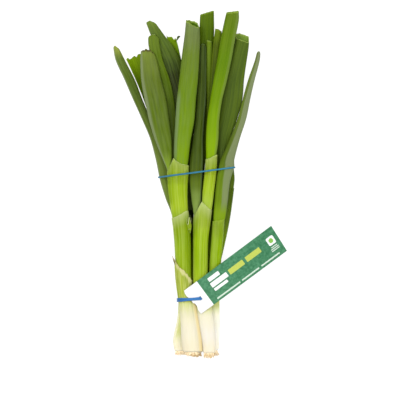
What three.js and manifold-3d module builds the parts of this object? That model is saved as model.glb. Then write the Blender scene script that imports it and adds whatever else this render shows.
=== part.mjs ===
// A bunch of five spring onions, tied with two elastic bands and labelled with a plain card tag.
// It lies on a surface: roots at -Y, leaf ends at +Y, the showing side up (+Z). Millimetres.
//
// Each plant is a shaft of nested leaf sheaths, a root plate with trimmed roots, and its leaves.
// Every long piece is a loft of sections across Y. One row of its table says where a section is:
//   [y, left x, right x, z of its middle, thickness]
import * as THREE from "three";
import { mergeVertices } from "three/addons/utils/BufferGeometryUtils.js";
import Module from "manifold-3d";

const wasm = await Module();
wasm.setup();

// ---- driving dimensions ------------------------------------------------------------------------
const GAP = 0.3; // clearance between neighbouring pieces
const WALL = 0.8; // leaf wall
const LEAF_SIDES = 12;
const SHAFT_SIDES = 18;
const LEAF_STEP = 17; // length of leaf between two sections
const SHAFT_STEP = 11;
const CUT_REACH = 14; // the last stretch of a leaf, over which its slanted cut grows
const SKIN_THICK = 0.6; // dry outer skin
const SKIN_GAP = 0.65; // its clearance to the shaft
const BAND_GAP = 0.6; // a band's clearance, which its straight stretches use up at the corners
const CARD_THICK = 0.7;
const FLOOR_DEPTH = 5; // what is planed off below the resting plane reaches this deep
const FOLD_WIDTH = 0.3; // of the soft fold along a leaf, as a share of its half width
const BOW_LEVEL = 0.4; // where across its width (squared) a trough keeps its row's height
const TIP_ROUND = 4; // length over which a closed tip is drawn in
const TIP_TURNS = [35, 65, 86]; // degrees of that rounding at which it has a ring
const SOCKET_REACH = 60; // a shaft holds no leaf further than this from the leaf's foot
const BAND_STEPS = 52;

const COLOURS = {
  shaft: 0xb5c85a,
  roots: 0xd9b784,
  fresh: 0x7fa316,
  waxy: 0x6b8040,
  dark: 0x4c6128,
  opened: 0x86a60c,
  skin: 0xd8c98c,
  band: 0x3f78b5,
  card: 0x46a06c,
};

// ---- the plants --------------------------------------------------------------------------------
// Sleeves are listed from the outermost in. `lip` raises the sleeve's top edge: [across, height]
// pairs, across running from -1 at the left edge to 1 at the right one.
const SHAFTS = {
  plant_1: {
    sleeves: [
      {
        rows: [
          [-142, -13.5, -0.1, 20, 12],
          [-132, -15, -0.7, 19.8, 14.4],
          [-115, -15.8, -3.4, 19.3, 12.4],
          [-98, -17.8, -6, 19.2, 11.6],
          [-81, -20, -7.2, 19.3, 12],
          [-64, -21, -7.6, 19.6, 13],
          [-47, -22, -7.7, 20, 13.4],
          [-26, -24, -9.5, 20.2, 13.2],
        ],
        lip: [[-1, -2.5], [0.9, 4], [1, 3]],
      },
      {
        rows: [
          [-45, -21.3, -9.2, 20, 11.6],
          [-21, -24.7, -10.2, 20.2, 12.2],
          [-4, -27.2, -10.6, 20.2, 12],
          [12.5, -28, -9.4, 20, 11.4],
          [14, -28, -9.4, 20, 11.4],
        ],
        lip: [[-1, -1], [-0.4, 8], [1, 3]],
      },
    ],
  },
  plant_2: {
    sleeves: [
      {
        rows: [
          [-142.6, 2.4, 12.8, 20.2, 9.6],
          [-132, 1, 13.6, 20.5, 11.4],
          [-115, -1.7, 12.2, 20.4, 11.4],
          [-98, -4, 8.8, 20.2, 11],
          [-81, -5.9, 6.8, 20.2, 11.6],
          [-64, -6, 6.6, 19.6, 12],
          [-47, -6, 7.1, 19.4, 12],
          [-30, -6, 9.4, 19.4, 12.4],
          [-23, -5.8, 10.4, 19.4, 12.4],
        ],
        lip: [[-1, 0], [-0.1, 8], [1, 3]],
      },
      {
        rows: [
          [-42, -1.5, 6, 20, 7.4],
          [-20, 1.2, 10.2, 19.8, 7.8],
          [-4, 2.2, 12.3, 20.6, 8.8],
          [12.5, 4.1, 14.3, 20.4, 8.8],
          [21, 4.6, 14.8, 20.2, 8.4],
        ],
        lip: [[-1, 0.5], [1, 4.5]],
      },
    ],
  },
  plant_3: {
    sleeves: [
      {
        rows: [
          [-141, 5.4, 15.8, 6.8, 10.4],
          [-132, 4.4, 16.6, 6.5, 13.4],
          [-115, 4.8, 16.8, 9.4, 11],
          [-98, 6.4, 16.6, 13.1, 9.4],
          [-81, 7.3, 17.4, 16.4, 9.4],
          [-64, 8.3, 18, 17.8, 9.2],
          [-47, 9.6, 19.6, 18.4, 9.4],
          [-31, 10.6, 21, 18.6, 9.8],
        ],
        lip: [[-1, 0], [1, 1.5]],
      },
    ],
  },
  plant_4: {
    sleeves: [
      {
        rows: [
          [-141.5, -21.8, -11.4, 6.6, 10.6],
          [-132, -23, -10.2, 6.3, 13.2],
          [-115, -19.5, -8.2, 6.5, 12.2],
          [-98, -18.2, -7, 7.2, 10.4],
          [-81, -18.4, -5.6, 6.4, 12.6],
          [-64, -18.9, -5, 6.3, 13],
          [-47, -19.6, -4.6, 6.3, 13.2],
          [-24, -23.6, -5.8, 7, 12],
        ],
        lip: [[-1, 0], [1, 3]],
      },
    ],
  },
  plant_5: {
    sleeves: [
      {
        rows: [
          [-143, -8.2, 1.8, 6.5, 10.4],
          [-132, -9.4, 2.8, 6.2, 13],
          [-115, -6.9, 4.3, 6.4, 12],
          [-98, -3.2, 7.8, 7.2, 10.4],
          [-81, 1.6, 13.2, 6, 12.4],
          [-64, 5.2, 18, 5.9, 12.4],
          [-47, 6, 22, 5.9, 12.4],
          [-30, 8, 25.4, 6.2, 12.2],
          [-13, 11, 28, 6.4, 10.6],
          [-5, 12, 29.2, 6.6, 9.6],
        ],
        lip: [[-1, 0], [1, 2]],
      },
    ],
  },
};

// A leaf's rows run from its foot, which stands in its shaft, to its free end.
//   end "cut": a tube left open, its edge slanted by [across, through]; "tip": rounded and closed;
//   "strip": a leaf torn open and spread, a thin trough, `arch` deep as a share of its half width.
//   ridge: [across, height] of the fold along the showing face, as a share of the thickness.
const LEAVES = [
  {
    name: "plant_1_leaf_left", plant: "plant_1", colour: "waxy", end: "cut", slant: [1.2, -1],
    ridge: [-0.55, 0.16],
    rows: [
      [4, -26.6, -22.8, 20.6, 3.2],
      [12.5, -28, -23.6, 21, 4.2],
      [21, -31.4, -24, 20.6, 5.4],
      [38, -38.2, -24.2, 18.8, 6.8],
      [55, -43.4, -26.2, 17, 7.4],
      [72, -47.2, -28.6, 15.4, 7.6],
      [89, -49.9, -33, 14.2, 7.2],
      [106, -50.8, -36.8, 13.4, 6.4],
      [113.5, -50.4, -39.4, 13.2, 5.4],
    ],
  },
  {
    name: "plant_1_leaf_centre", plant: "plant_1", colour: "fresh", end: "cut", slant: [-3.2, -3],
    ridge: [-0.45, 0.12],
    rows: [
      [0, -18.6, -12, 22, 4.4],
      [12.5, -20.8, -11.2, 21.6, 5.6],
      [21, -21.8, -9.8, 21.6, 7],
      [38, -21.9, -7.8, 20.4, 7.8],
      [55, -21, -4.8, 19, 8],
      [72, -19.8, -3.4, 17.8, 8],
      [89, -17.9, -1.7, 16.6, 7.8],
      [106, -15.8, -0.5, 15, 7.4],
      [123, -13.7, 0, 13.4, 6.8],
      [136, -12, -0.4, 12, 6],
    ],
  },
  {
    name: "plant_1_leaf_back", plant: "plant_1", colour: "dark", end: "tip",
    ridge: [0.3, 0.08],
    rows: [
      [-6, -23.6, -15.4, 17, 3.4],
      [12.5, -25.4, -15, 15.8, 4],
      [38, -27.8, -18.2, 12.8, 4],
      [55, -29.6, -20, 11, 4],
      [72, -32, -22, 10, 4],
      [89, -36.2, -25.5, 9.4, 4],
      [106, -41, -31.4, 9, 4],
      [118, -43.6, -34, 8.9, 3.8],
      [127.5, -44.2, -35, 8.9, 3.6],
    ],
  },
  {
    name: "plant_2_leaf_left", plant: "plant_2", colour: "dark", end: "cut", slant: [-0.6, -0.5],
    ridge: [0.35, 0.1],
    rows: [
      [-33, -4.6, -1.2, 19.6, 3.4],
      [-21.5, -6, 0.2, 19.6, 4.8],
      [-13, -7.2, 0.9, 19.6, 6],
      [4, -8.8, 2, 18.6, 6],
      [21, -8.4, 2.7, 17, 6],
      [38, -6.2, 2.6, 15, 5.8],
      [55, -4.4, 3.7, 13.4, 5.4],
      [72, -3, 5, 12, 5],
      [89, -1.4, 5.2, 10.8, 4.6],
      [106, -0.6, 5.3, 9.8, 4.2],
      [119, 0, 5.1, 9.4, 3.8],
    ],
  },
  {
    name: "plant_2_leaf_centre", plant: "plant_2", colour: "fresh", end: "cut", slant: [0.5, -0.8],
    ridge: [0.5, 0.08],
    rows: [
      [5, 5.6, 11.8, 20.4, 4.2],
      [25, 5.2, 13.8, 20.2, 5.6],
      [38, 5.1, 15.6, 19.8, 6.2],
      [55, 6, 16.5, 19.2, 6.4],
      [72, 8.5, 18.7, 18, 6.6],
      [89, 11.5, 23, 16.8, 6.6],
      [106, 14.5, 26.8, 15.4, 6.4],
      [123, 17.4, 29.8, 13.8, 6.2],
      [140, 21.2, 33.1, 11.6, 5.8],
      [146.6, 22.4, 33, 10.8, 5.6],
    ],
  },
  {
    name: "plant_2_leaf_right", plant: "plant_2", colour: "dark", end: "cut", slant: [0.6, -0.4],
    ridge: [0, 0.08],
    rows: [
      [-30, 2.4, 7.6, 15.4, 3],
      [-12, 3.8, 13.2, 13.8, 3.2],
      [12.5, 4.6, 13.5, 12.8, 3.6],
      [38, 5, 13.4, 12.8, 3.8],
      [55, 6, 14, 12.8, 3.8],
      [89, 8.8, 16, 11, 3.8],
      [114, 10.8, 17.6, 9.6, 3.6],
      [131, 13.4, 18.2, 9, 3.4],
    ],
  },
  {
    name: "plant_2_leaf_back", plant: "plant_2", colour: "dark", end: "cut", slant: [1.8, -0.6],
    ridge: [-0.2, 0.08],
    rows: [
      [-30, -3.4, 1.6, 15.4, 3],
      [-12, -4.6, 2.6, 13, 3.4],
      [12.5, -5.2, 4, 11.2, 3.8],
      [38, -5.1, 5.6, 8.8, 3.6],
      [55, -5.7, 6.8, 7, 3.4],
      [72, -4.8, 8.8, 4.6, 3.6],
      [89, -3.4, 10.2, 3, 3.6],
      [123, -0.8, 11.5, 2.8, 3.6],
      [146.6, 0, 11.3, 2.8, 3.4],
    ],
  },
  {
    name: "plant_3_leaf_right", plant: "plant_3", colour: "waxy", end: "tip", round: 3,
    ridge: [-0.1, 0.2],
    rows: [
      [-40, 12.4, 18.4, 19.2, 3.6],
      [-28, 11.3, 21.4, 19.6, 5.2],
      [-13, 12.4, 23.6, 19.8, 6],
      [4, 14.2, 25.9, 19.8, 6.2],
      [15, 15.9, 29, 19.6, 6.2],
      [21, 17.4, 29, 19, 6],
      [38, 25, 33.6, 16.8, 5.4],
      [55, 31.4, 39, 13.8, 5],
      [72, 35.9, 42.5, 10.2, 4.6],
      [89, 41, 46.5, 5.2, 4.2],
      [106, 46.8, 50.8, 2.6, 3.4],
      [113.9, 48.7, 51.6, 1.9, 3],
    ],
  },
  {
    name: "plant_3_leaf_left", plant: "plant_3", colour: "dark", end: "cut", slant: [-1.8, -2.4],
    ridge: [0.2, 0.06],
    rows: [
      [-38, 13.6, 17.8, 15.6, 2.8],
      [-13, 13.6, 20.4, 14, 3.4],
      [12.5, 14.6, 22.2, 14, 3.8],
      [38, 14.2, 25.4, 12.4, 4],
      [55, 15.2, 31.5, 10.6, 4.4],
      [72, 17.2, 35.9, 9, 4.6],
      [89, 20.2, 37.4, 8.4, 5.2],
      [106, 24.6, 40, 7.4, 5.6],
      [118.5, 29, 41.6, 6.8, 5.6],
      [125, 30.6, 41.6, 6.6, 5.4],
    ],
  },
  {
    name: "plant_4_leaf_left", plant: "plant_4", colour: "waxy", end: "tip", round: 2.2,
    ridge: [-0.2, 0.1],
    rows: [
      [-33, -22, -18, 8.6, 3.2],
      [-21, -25.6, -19, 9, 4.4],
      [-13, -28.8, -20.4, 9.6, 5.2],
      [4, -34, -24.6, 9.8, 6],
      [21, -37.4, -28.4, 9.2, 6.4],
      [38, -42, -33.6, 8, 6.2],
      [55, -49.2, -41.6, 6, 6],
      [72, -56.2, -48.4, 4.2, 5.6],
      [89, -63.4, -57.2, 3, 4.8],
      [106, -71.4, -66.2, 2.1, 3.8],
      [118.2, -74, -69.5, 1.8, 3.1],
    ],
  },
  {
    name: "plant_4_leaf_opened", plant: "plant_4", colour: "opened", end: "strip", slant: [1.6, 0],
    arch: 0.26,
    rows: [
      [-31, -19.8, -16.2, 5, 1.4],
      [12.5, -27.4, -19.6, 4.4, 1.4],
      [38, -35.6, -25.4, 3.4, 1.4],
      [55, -41.8, -30.6, 2.8, 1.4],
      [76, -48.6, -35.4, 2.4, 1.4],
      [97.5, -57.6, -43, 2.2, 1.4],
      [109, -62, -46.4, 2.2, 1.4],
    ],
  },
  {
    name: "plant_4_leaf_right", plant: "plant_4", colour: "waxy", end: "tip", round: 2.6,
    ridge: [0.2, 0.1],
    rows: [
      [-31, -14.6, -6.6, 9, 3.2],
      [-12, -16, -5.6, 9, 4.2],
      [12.5, -15.4, -5.9, 8.4, 4.8],
      [38, -15.4, -5.6, 7.8, 5],
      [55, -20, -6.6, 7.4, 4.4],
      [80, -25, -10, 6.8, 4],
      [97.5, -30.4, -14, 6.2, 3.8],
      [106, -33.4, -16.6, 5.8, 3.6],
      [118, -38, -23.2, 5.1, 3.4],
      [128, -42.2, -31.2, 3.9, 3.4],
      [138.8, -46.9, -40.4, 2.8, 3.2],
    ],
  },
  {
    name: "plant_5_leaf_right", plant: "plant_5", colour: "dark", end: "cut", slant: [1, -0.5],
    ridge: [0.1, 0.1],
    rows: [
      [-14, 22.4, 26.8, 7.4, 4],
      [4, 20.6, 29.4, 6.8, 6],
      [12.5, 19.8, 29, 6.6, 6.4],
      [38, 19.4, 28.2, 5.8, 6],
      [55, 20.6, 29.4, 4.8, 5.4],
      [89, 26.4, 36, 2.9, 4.4],
      [103, 29, 38, 2.3, 3.8],
    ],
  },
  {
    name: "plant_5_leaf_slender", plant: "plant_5", colour: "fresh", end: "cut", slant: [0.4, -0.4],
    ridge: [0, 0.06],
    rows: [
      [-14, 18.6, 21.6, 8.6, 2.8],
      [12.5, 13.4, 17.8, 8, 3.2],
      [38, 8.6, 13.4, 8.2, 3.2],
      [55, 6.2, 11, 8.8, 3.2],
      [89, 5.2, 10, 7.4, 3.2],
      [118, 5.2, 10.2, 6.8, 3.2],
      [122.5, 5.8, 9.6, 6.8, 3],
    ],
  },
  {
    name: "plant_5_leaf_opened", plant: "plant_5", colour: "opened", end: "strip", slant: [-1.8, 0],
    arch: 0.22,
    rows: [
      [-14, 19.2, 22.4, 5.6, 1.4],
      [12.5, 7, 14.8, 4.6, 1.4],
      [38, -4, 6, 3.8, 1.4],
      [55, -10, 0.4, 3.4, 1.4],
      [72, -15.4, -5.6, 2.8, 1.4],
      [89, -20.6, -10.6, 2.4, 1.4],
      [106, -26, -15.8, 2.2, 1.4],
      [124, -28.4, -19.4, 2.2, 1.4],
    ],
  },
];

// The torn stub of an outer leaf that stays at the first plant's lower collar.
const STUB_ROWS = [
  [-42, -12.6, -8.2, 22, 3.4],
  [-35.5, -12.8, -7.2, 22.4, 4.4],
  [-30, -12.4, -8.4, 23, 4],
  [-26.5, -11.8, -9.2, 23.4, 2.6],
];

// The dry outer skin lies over the showing half of the first plant's shaft. It starts at the root
// plate, and its torn upper edge climbs from the right side to the left one.
const SKIN = { from: -141, right: -81, left: -58.5, climb: 1.15, lengthSteps: 11, between: [0.1, 3.2] };

// Trimmed roots: how far out on the root plate they start, how much the outer ones lean, how far
// they droop and how much thinner they end. `dome` is the plate's own outline: [depth, width].
const ROOTS = {
  seed: 7, count: 13, sides: 4, plate: 0.36, depth: 1.8, reach: [3, 5], thick: 1.3,
  inset: 0.8, sunk: 0.7, lean: 0.55, droop: 0.5, taper: 0.45, turn: 2.4,
  dome: [[0, 1], [0.5, 1.05], [1, 0.7]],
};

// Bands run round the whole bunch in a plane across it: y = at + lean * x.
const BANDS = [
  { name: "band_upper", at: 10.9, lean: 0.13, wide: 1.5, thick: 1 },
  { name: "band_lower", at: -96.3, lean: 0.09, wide: 3.8, thick: 1.1 },
];

// The card tag, seen from above: a corner, its direction, its size, and its height along its length.
const TAG = {
  corner: [-13.6, -89.9],
  turn: 36.3,
  long: 91.6,
  wide: 24.4,
  rise: [
    [0, 26.9],
    [3.2, 27],
    [7.8, 28.7],
    [14, 29.1],
    [25, 28.2],
    [37, 25.2],
    [55, 18.2],
    [75, 9.4],
    [91.6, 1.2],
  ],
  notch: 1.6, // how far the middle of the tail's end is nicked in
  skew: 1.7, // how far the far end is cut askew
  flare: 0.031, // how much wider it grows towards its far end
  slot: { along: [2.4, 9.6], across: [8.2, 18.8], cut: [20, 36] }, // cut through between these heights
  // where the band crosses over the tail's end, from the slot's far edge, and how low it may lie
  crossing: { over: [-9, -4.6], settle: [0.4, 0] },
  steps: 22,
};

// ---- sections and lofts ------------------------------------------------------------------------
// A smooth curve through the rows: column k at y.
function column(rows, k, y) {
  const last = rows.length - 1;
  let i = 0;
  while (i < last - 1 && y > rows[i + 1][0]) i++;
  const slope = (j) => {
    const a = rows[Math.max(j - 1, 0)];
    const b = rows[Math.min(j + 1, last)];
    return (b[k] - a[k]) / (b[0] - a[0]);
  };
  const h = rows[i + 1][0] - rows[i][0];
  const u = Math.min(Math.max((y - rows[i][0]) / h, 0), 1);
  const start = (1 + 2 * u) * (1 - u) ** 2 * rows[i][k] + u * (1 - u) ** 2 * h * slope(i);
  return start + u * u * (3 - 2 * u) * rows[i + 1][k] + u * u * (u - 1) * h * slope(i + 1);
}

// The section of a piece at y: a flattened oval, with a soft fold on its upper face, or bowed
// into a trough. `grow` widens it all round, and a negative one gives a tube's inner face.
function sectionAt(piece, y, grow = 0) {
  const { rows, ridge = [0, 0], arch = 0 } = piece;
  const left = column(rows, 1, y);
  const right = column(rows, 2, y);
  const middle = column(rows, 3, y);
  const thick = column(rows, 4, y);
  const half = Math.max((right - left) / 2 + grow, 0.2);
  const rise = Math.max(thick / 2 + grow, 0.2);
  return (angle, scale = 1) => {
    const across = Math.cos(angle);
    const up = Math.sin(angle);
    const fold = ridge[1] * thick * Math.exp(-(((across - ridge[0]) / FOLD_WIDTH) ** 2)) * Math.max(up, 0);
    const bow = arch * half * (across ** 2 - BOW_LEVEL);
    const z = middle + scale * (rise * up + fold) + bow;
    return new THREE.Vector3((left + right) / 2 + scale * half * across, y, z);
  };
}

const turns = (sides) => Array.from({ length: sides }, (_, i) => (2 * Math.PI * i) / sides);

function wholeRing(piece, y, sides) {
  const at = sectionAt(piece, y);
  return turns(sides).map((a) => at(a));
}

// One closed body from a run of rings of equal size, each end closed by a fan.
function skinOver(rings) {
  const sides = rings[0].length;
  const points = rings.flat();
  const faces = [];
  for (let r = 0; r < rings.length - 1; r++) {
    for (let i = 0; i < sides; i++) {
      const j = (i + 1) % sides;
      const [a, b] = [r * sides + i, r * sides + j];
      faces.push([a, b, a + sides], [b, b + sides, a + sides]);
    }
  }
  for (const [ring, start, flip] of [
    [rings[0], 0, true],
    [rings.at(-1), (rings.length - 1) * sides, false],
  ]) {
    const pole = points.push(ring.reduce((s, p) => s.add(p), new THREE.Vector3()).divideScalar(sides)) - 1;
    for (let i = 0; i < sides; i++) {
      const [a, b] = [start + i, start + ((i + 1) % sides)];
      faces.push(flip ? [b, a, pole] : [a, b, pole]);
    }
  }
  return closedGeometry(points, faces);
}

// One closed body between two grids of points of equal size, joined round their rim.
function shellBetween(under, over) {
  const [rows, columns] = [under.length, under[0].length];
  const points = [...under.flat(), ...over.flat()];
  const above = rows * columns;
  const faces = [];
  for (let r = 0; r < rows - 1; r++) {
    for (let c = 0; c < columns - 1; c++) {
      const [a, b] = [r * columns + c, r * columns + c + 1];
      const [d, e] = [a + columns, b + columns];
      faces.push([a, d, b], [b, d, e]);
      faces.push([a + above, b + above, d + above], [b + above, e + above, d + above]);
    }
  }
  const rim = [
    ...Array.from({ length: columns - 1 }, (_, c) => c),
    ...Array.from({ length: rows - 1 }, (_, r) => r * columns + columns - 1),
    ...Array.from({ length: columns - 1 }, (_, c) => rows * columns - 1 - c),
    ...Array.from({ length: rows - 1 }, (_, r) => (rows - 1 - r) * columns),
  ];
  rim.forEach((a, i) => {
    const b = rim[(i + 1) % rim.length];
    faces.push([a, b, a + above], [b, b + above, a + above]);
  });
  return closedGeometry(points, faces);
}

// A geometry from points and faces, turned the right way out.
function closedGeometry(points, faces) {
  const volume = faces.reduce((sum, [a, b, c]) => {
    return sum + points[a].dot(new THREE.Vector3().crossVectors(points[b], points[c]));
  }, 0);
  const index = volume > 0 ? faces : faces.map(([a, b, c]) => [a, c, b]);
  return new THREE.BufferGeometry().setFromPoints(points).setIndex(index.flat());
}

function solid(geometry) {
  const bare = geometry.clone();
  bare.deleteAttribute("normal");
  bare.deleteAttribute("uv");
  const merged = mergeVertices(bare, 1e-4);
  return new wasm.Manifold(
    new wasm.Mesh({
      numProp: 3,
      vertProperties: Float32Array.from(merged.attributes.position.array),
      triVerts: Uint32Array.from(merged.index.array),
    }),
  );
}

// The geometry of a solid, without the loose scraps that a cut can leave.
function geometryOf(made) {
  const body = made.decompose().sort((a, b) => b.volume() - a.volume())[0];
  const { numProp, vertProperties, triVerts } = body.getMesh();
  const position = [];
  for (let i = 0; i < vertProperties.length; i += numProp) position.push(...vertProperties.slice(i, i + 3));
  const geometry = new THREE.BufferGeometry();
  geometry.setAttribute("position", new THREE.Float32BufferAttribute(position, 3));
  return geometry.setIndex([...triVerts]);
}

const group = new THREE.Group();
function addNode(name, geometry, colour, roughness = 0.5) {
  geometry.computeVertexNormals();
  const material = new THREE.MeshStandardMaterial({ color: COLOURS[colour], roughness, metalness: 0 });
  const mesh = new THREE.Mesh(geometry, material);
  mesh.name = name;
  group.add(mesh);
}

// Where the sections of a run stand, about `step` apart.
function stations(from, to, step) {
  const count = Math.max(Math.round((to - from) / step), 2);
  return Array.from({ length: count + 1 }, (_, i) => from + ((to - from) * i) / count);
}

// The outside of a leaf: [y, scale] for each ring. A rounded end draws its last rings in.
function leafStations(leaf) {
  const from = leaf.rows[0][0];
  const to = leaf.rows.at(-1)[0];
  if (leaf.end !== "tip") return stations(from, to, LEAF_STEP).map((y) => [y, 1]);
  const round = leaf.round ?? TIP_ROUND;
  const body = stations(from, to - round, LEAF_STEP).map((y) => [y, 1]);
  const end = TIP_TURNS.map((deg) => {
    const a = THREE.MathUtils.degToRad(deg);
    return [to - round + round * Math.sin(a), Math.cos(a)];
  });
  return body.concat(end);
}

function leafRing(leaf, y, scale, grow) {
  const at = sectionAt(leaf, y, grow);
  const end = leaf.rows.at(-1)[0];
  const near = THREE.MathUtils.clamp((y - (end - CUT_REACH)) / CUT_REACH, 0, 1) ** 2;
  const [across, through] = leaf.slant ?? [0, 0];
  return turns(LEAF_SIDES).map((a) => {
    const point = at(a, scale);
    point.y += near * (across * Math.cos(a) + through * Math.sin(a));
    return point;
  });
}

// A leaf: the outer rings, then the inner ones the other way, so that the wall closes round the
// open end. A closed tip leaves the tube open at its foot instead.
function leafGeometry(leaf) {
  const outer = leafStations(leaf).map(([y, scale]) => leafRing(leaf, y, scale, 0));
  if (leaf.end === "strip") return skinOver(outer);
  const hollow = leafStations(leaf).filter(([, scale]) => scale === 1);
  if (leaf.end === "cut") {
    const inner = hollow.slice(1).map(([y]) => leafRing(leaf, y, 1, -WALL));
    return skinOver([...outer, ...inner.reverse()]);
  }
  const inner = hollow.slice(0, -1).map(([y]) => leafRing(leaf, y, 1, -WALL));
  return skinOver([...inner.reverse(), ...outer]);
}

// What a leaf takes out of the shaft that holds it: its outside, grown by the gap.
function leafSocket(leaf) {
  const foot = leaf.rows[0][0];
  const rings = leafStations(leaf)
    .filter(([y, scale]) => scale === 1 && y < foot + SOCKET_REACH)
    .map(([y]) => leafRing(leaf, y, 1, GAP));
  const below = rings[0].map((point) => point.clone().setY(point.y - GAP));
  return solid(skinOver([below, ...rings]));
}

// A straight-line curve through [across, height] pairs.
function lipHeight(lip, across) {
  let i = 0;
  while (i < lip.length - 2 && across > lip[i + 1][0]) i++;
  const [[a, low], [b, high]] = [lip[i], lip[i + 1]];
  return low + ((high - low) * (across - a)) / (b - a);
}

const sleeveStations = ({ rows }) => stations(rows[0][0], rows.at(-1)[0], SHAFT_STEP);

function sleeveGeometry(sleeve) {
  const { rows, lip } = sleeve;
  const rings = sleeveStations(sleeve).map((y) => wholeRing(sleeve, y, SHAFT_SIDES));
  for (const point of rings.at(-1)) {
    const [left, right] = [1, 2].map((k) => rows.at(-1)[k]);
    point.y += lipHeight(lip, (2 * point.x - left - right) / (right - left));
  }
  return skinOver(rings);
}

// ---- shafts ------------------------------------------------------------------------------------
const underFloor = new THREE.BoxGeometry(400, 400, FLOOR_DEPTH).translate(0, 0, -FLOOR_DEPTH / 2);
const floor = solid(underFloor);

for (const [plant, { sleeves }] of Object.entries(SHAFTS)) {
  let shaft = solid(sleeveGeometry(sleeves[0]));
  for (const sleeve of sleeves.slice(1)) shaft = shaft.add(solid(sleeveGeometry(sleeve)));
  if (plant === "plant_1") {
    const stub = { rows: STUB_ROWS };
    shaft = shaft.add(solid(skinOver(STUB_ROWS.map(([y]) => wholeRing(stub, y, 8)))));
  }
  for (const leaf of LEAVES.filter((one) => one.plant === plant)) shaft = shaft.subtract(leafSocket(leaf));
  addNode(`${plant}_shaft`, geometryOf(shaft.subtract(floor)), "shaft", 0.42);
}

// ---- leaves ------------------------------------------------------------------------------------
for (const leaf of LEAVES) addNode(leaf.name, leafGeometry(leaf), leaf.colour, 0.48);

// ---- roots -------------------------------------------------------------------------------------
function seeded(seed) {
  let state = seed;
  return () => {
    state = (state * 16807) % 2147483647;
    return state / 2147483647;
  };
}

// A trimmed root: a bent taper from inside the plate outwards.
function rootGeometry(from, out, reach, thick) {
  const rings = [0, 0.55, 1].map((t) => {
    const middle = from.clone().addScaledVector(out, reach * t).add(new THREE.Vector3(0, 0, -ROOTS.droop * t * t));
    const radius = (thick / 2) * (1 - ROOTS.taper * t);
    return turns(ROOTS.sides).map((a) => {
      return middle.clone().add(new THREE.Vector3(radius * Math.cos(a), 0, radius * Math.sin(a)));
    });
  });
  return skinOver(rings);
}

const random = seeded(ROOTS.seed);
for (const [plant, { sleeves }] of Object.entries(SHAFTS)) {
  const [y, left, right, middle, thick] = sleeves[0].rows[0];
  const face = new THREE.Vector3((left + right) / 2, y - GAP, middle);
  const half = [(right - left) * ROOTS.plate, thick * ROOTS.plate];
  const plateRings = ROOTS.dome.map(([t, scale]) => {
    return turns(12).map((a) => {
      const offset = new THREE.Vector3(half[0] * Math.cos(a), 0, half[1] * Math.sin(a));
      return face.clone().addScaledVector(offset, scale).setY(face.y - t * ROOTS.depth);
    });
  });
  let tuft = solid(skinOver(plateRings));
  for (let i = 0; i < ROOTS.count; i++) {
    const turn = ROOTS.turn * i + random();
    const spread = Math.sqrt((i + 0.5) / ROOTS.count);
    const side = new THREE.Vector3(Math.cos(turn), 0, Math.sin(turn));
    const inset = ROOTS.inset * spread;
    const start = new THREE.Vector3(side.x * half[0] * inset, -ROOTS.sunk, side.z * half[1] * inset);
    const out = new THREE.Vector3(0, -1, 0).addScaledVector(side, ROOTS.lean * spread * random());
    const reach = THREE.MathUtils.lerp(...ROOTS.reach, random());
    tuft = tuft.add(solid(rootGeometry(start.add(face), out, reach, ROOTS.thick * (0.8 + 0.4 * random()))));
  }
  addNode(`${plant}_roots`, geometryOf(tuft.subtract(floor)), "roots", 0.8);
}

// ---- dry skin ----------------------------------------------------------------------------------
// A point of a sleeve's flat-sided surface, grown: between its two nearest sections, on a straight.
function facetPoint(sleeve, y, angle, grow) {
  const rings = sleeveStations(sleeve);
  const next = rings.findIndex((one) => one >= y);
  const [low, high] = [rings[next - 1], rings[next]];
  const [from, to] = [low, high].map((one) => sectionAt(sleeve, one, grow)(angle));
  return from.lerp(to, (y - low) / (high - low));
}

// A thin shell over the shaft: at each angle it runs from its foot to its slanted upper edge.
function drySkinGeometry() {
  const shaft = SHAFTS.plant_1.sleeves[0];
  const angles = turns(SHAFT_SIDES).filter((angle) => angle > SKIN.between[0] && angle < SKIN.between[1]);
  const face = (grow) => angles.map((angle, i) => {
    const share = i / (angles.length - 1);
    const top = SKIN.right + (SKIN.left - SKIN.right) * share ** SKIN.climb;
    const line = stations(SKIN.from, top, (top - SKIN.from) / SKIN.lengthSteps);
    return line.map((y) => facetPoint(shaft, y, angle, grow));
  });
  return shellBetween(face(SKIN_GAP), face(SKIN_GAP + SKIN_THICK));
}
addNode("plant_1_dry_skin", drySkinGeometry(), "skin", 0.7);

// ---- tag ---------------------------------------------------------------------------------------
const tagTurn = THREE.MathUtils.degToRad(TAG.turn);
const tagPoint = (along, across, lift) => {
  return new THREE.Vector3(
    TAG.corner[0] + along * Math.cos(tagTurn) + across * Math.sin(tagTurn),
    TAG.corner[1] + along * Math.sin(tagTurn) - across * Math.cos(tagTurn),
    column(TAG.rise, 1, along) + lift,
  );
};

function tagGeometry() {
  const rings = stations(0, TAG.long, TAG.long / TAG.steps).map((along, i) => {
    const ring = [];
    for (const [share, lift] of [[0, 0], [0.5, 0], [1, 0], [1, 1], [0.5, 1], [0, 1]]) {
      const nick = i === 0 && share === 0.5 ? TAG.notch : 0;
      const skewed = along + nick + TAG.skew * (0.45 - share) * (along / TAG.long) ** 6;
      const across = share * TAG.wide + TAG.flare * (share - 0.4) * TAG.wide * (along / TAG.long);
      ring.push(tagPoint(skewed, across, (lift - 0.5) * CARD_THICK));
    }
    return ring;
  });
  return skinOver(rings);
}

function slotSolid() {
  const { along, across, cut } = TAG.slot;
  const corners = [[0, 0], [1, 0], [1, 1], [0, 1]].map(([a, b]) => {
    return tagPoint(along[0] + a * (along[1] - along[0]), across[0] + b * (across[1] - across[0]), 0);
  });
  return solid(skinOver(cut.map((z) => corners.map((corner) => corner.clone().setZ(z)))));
}
addNode("tag", geometryOf(solid(tagGeometry()).subtract(slotSolid())), "card", 0.55);

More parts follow.
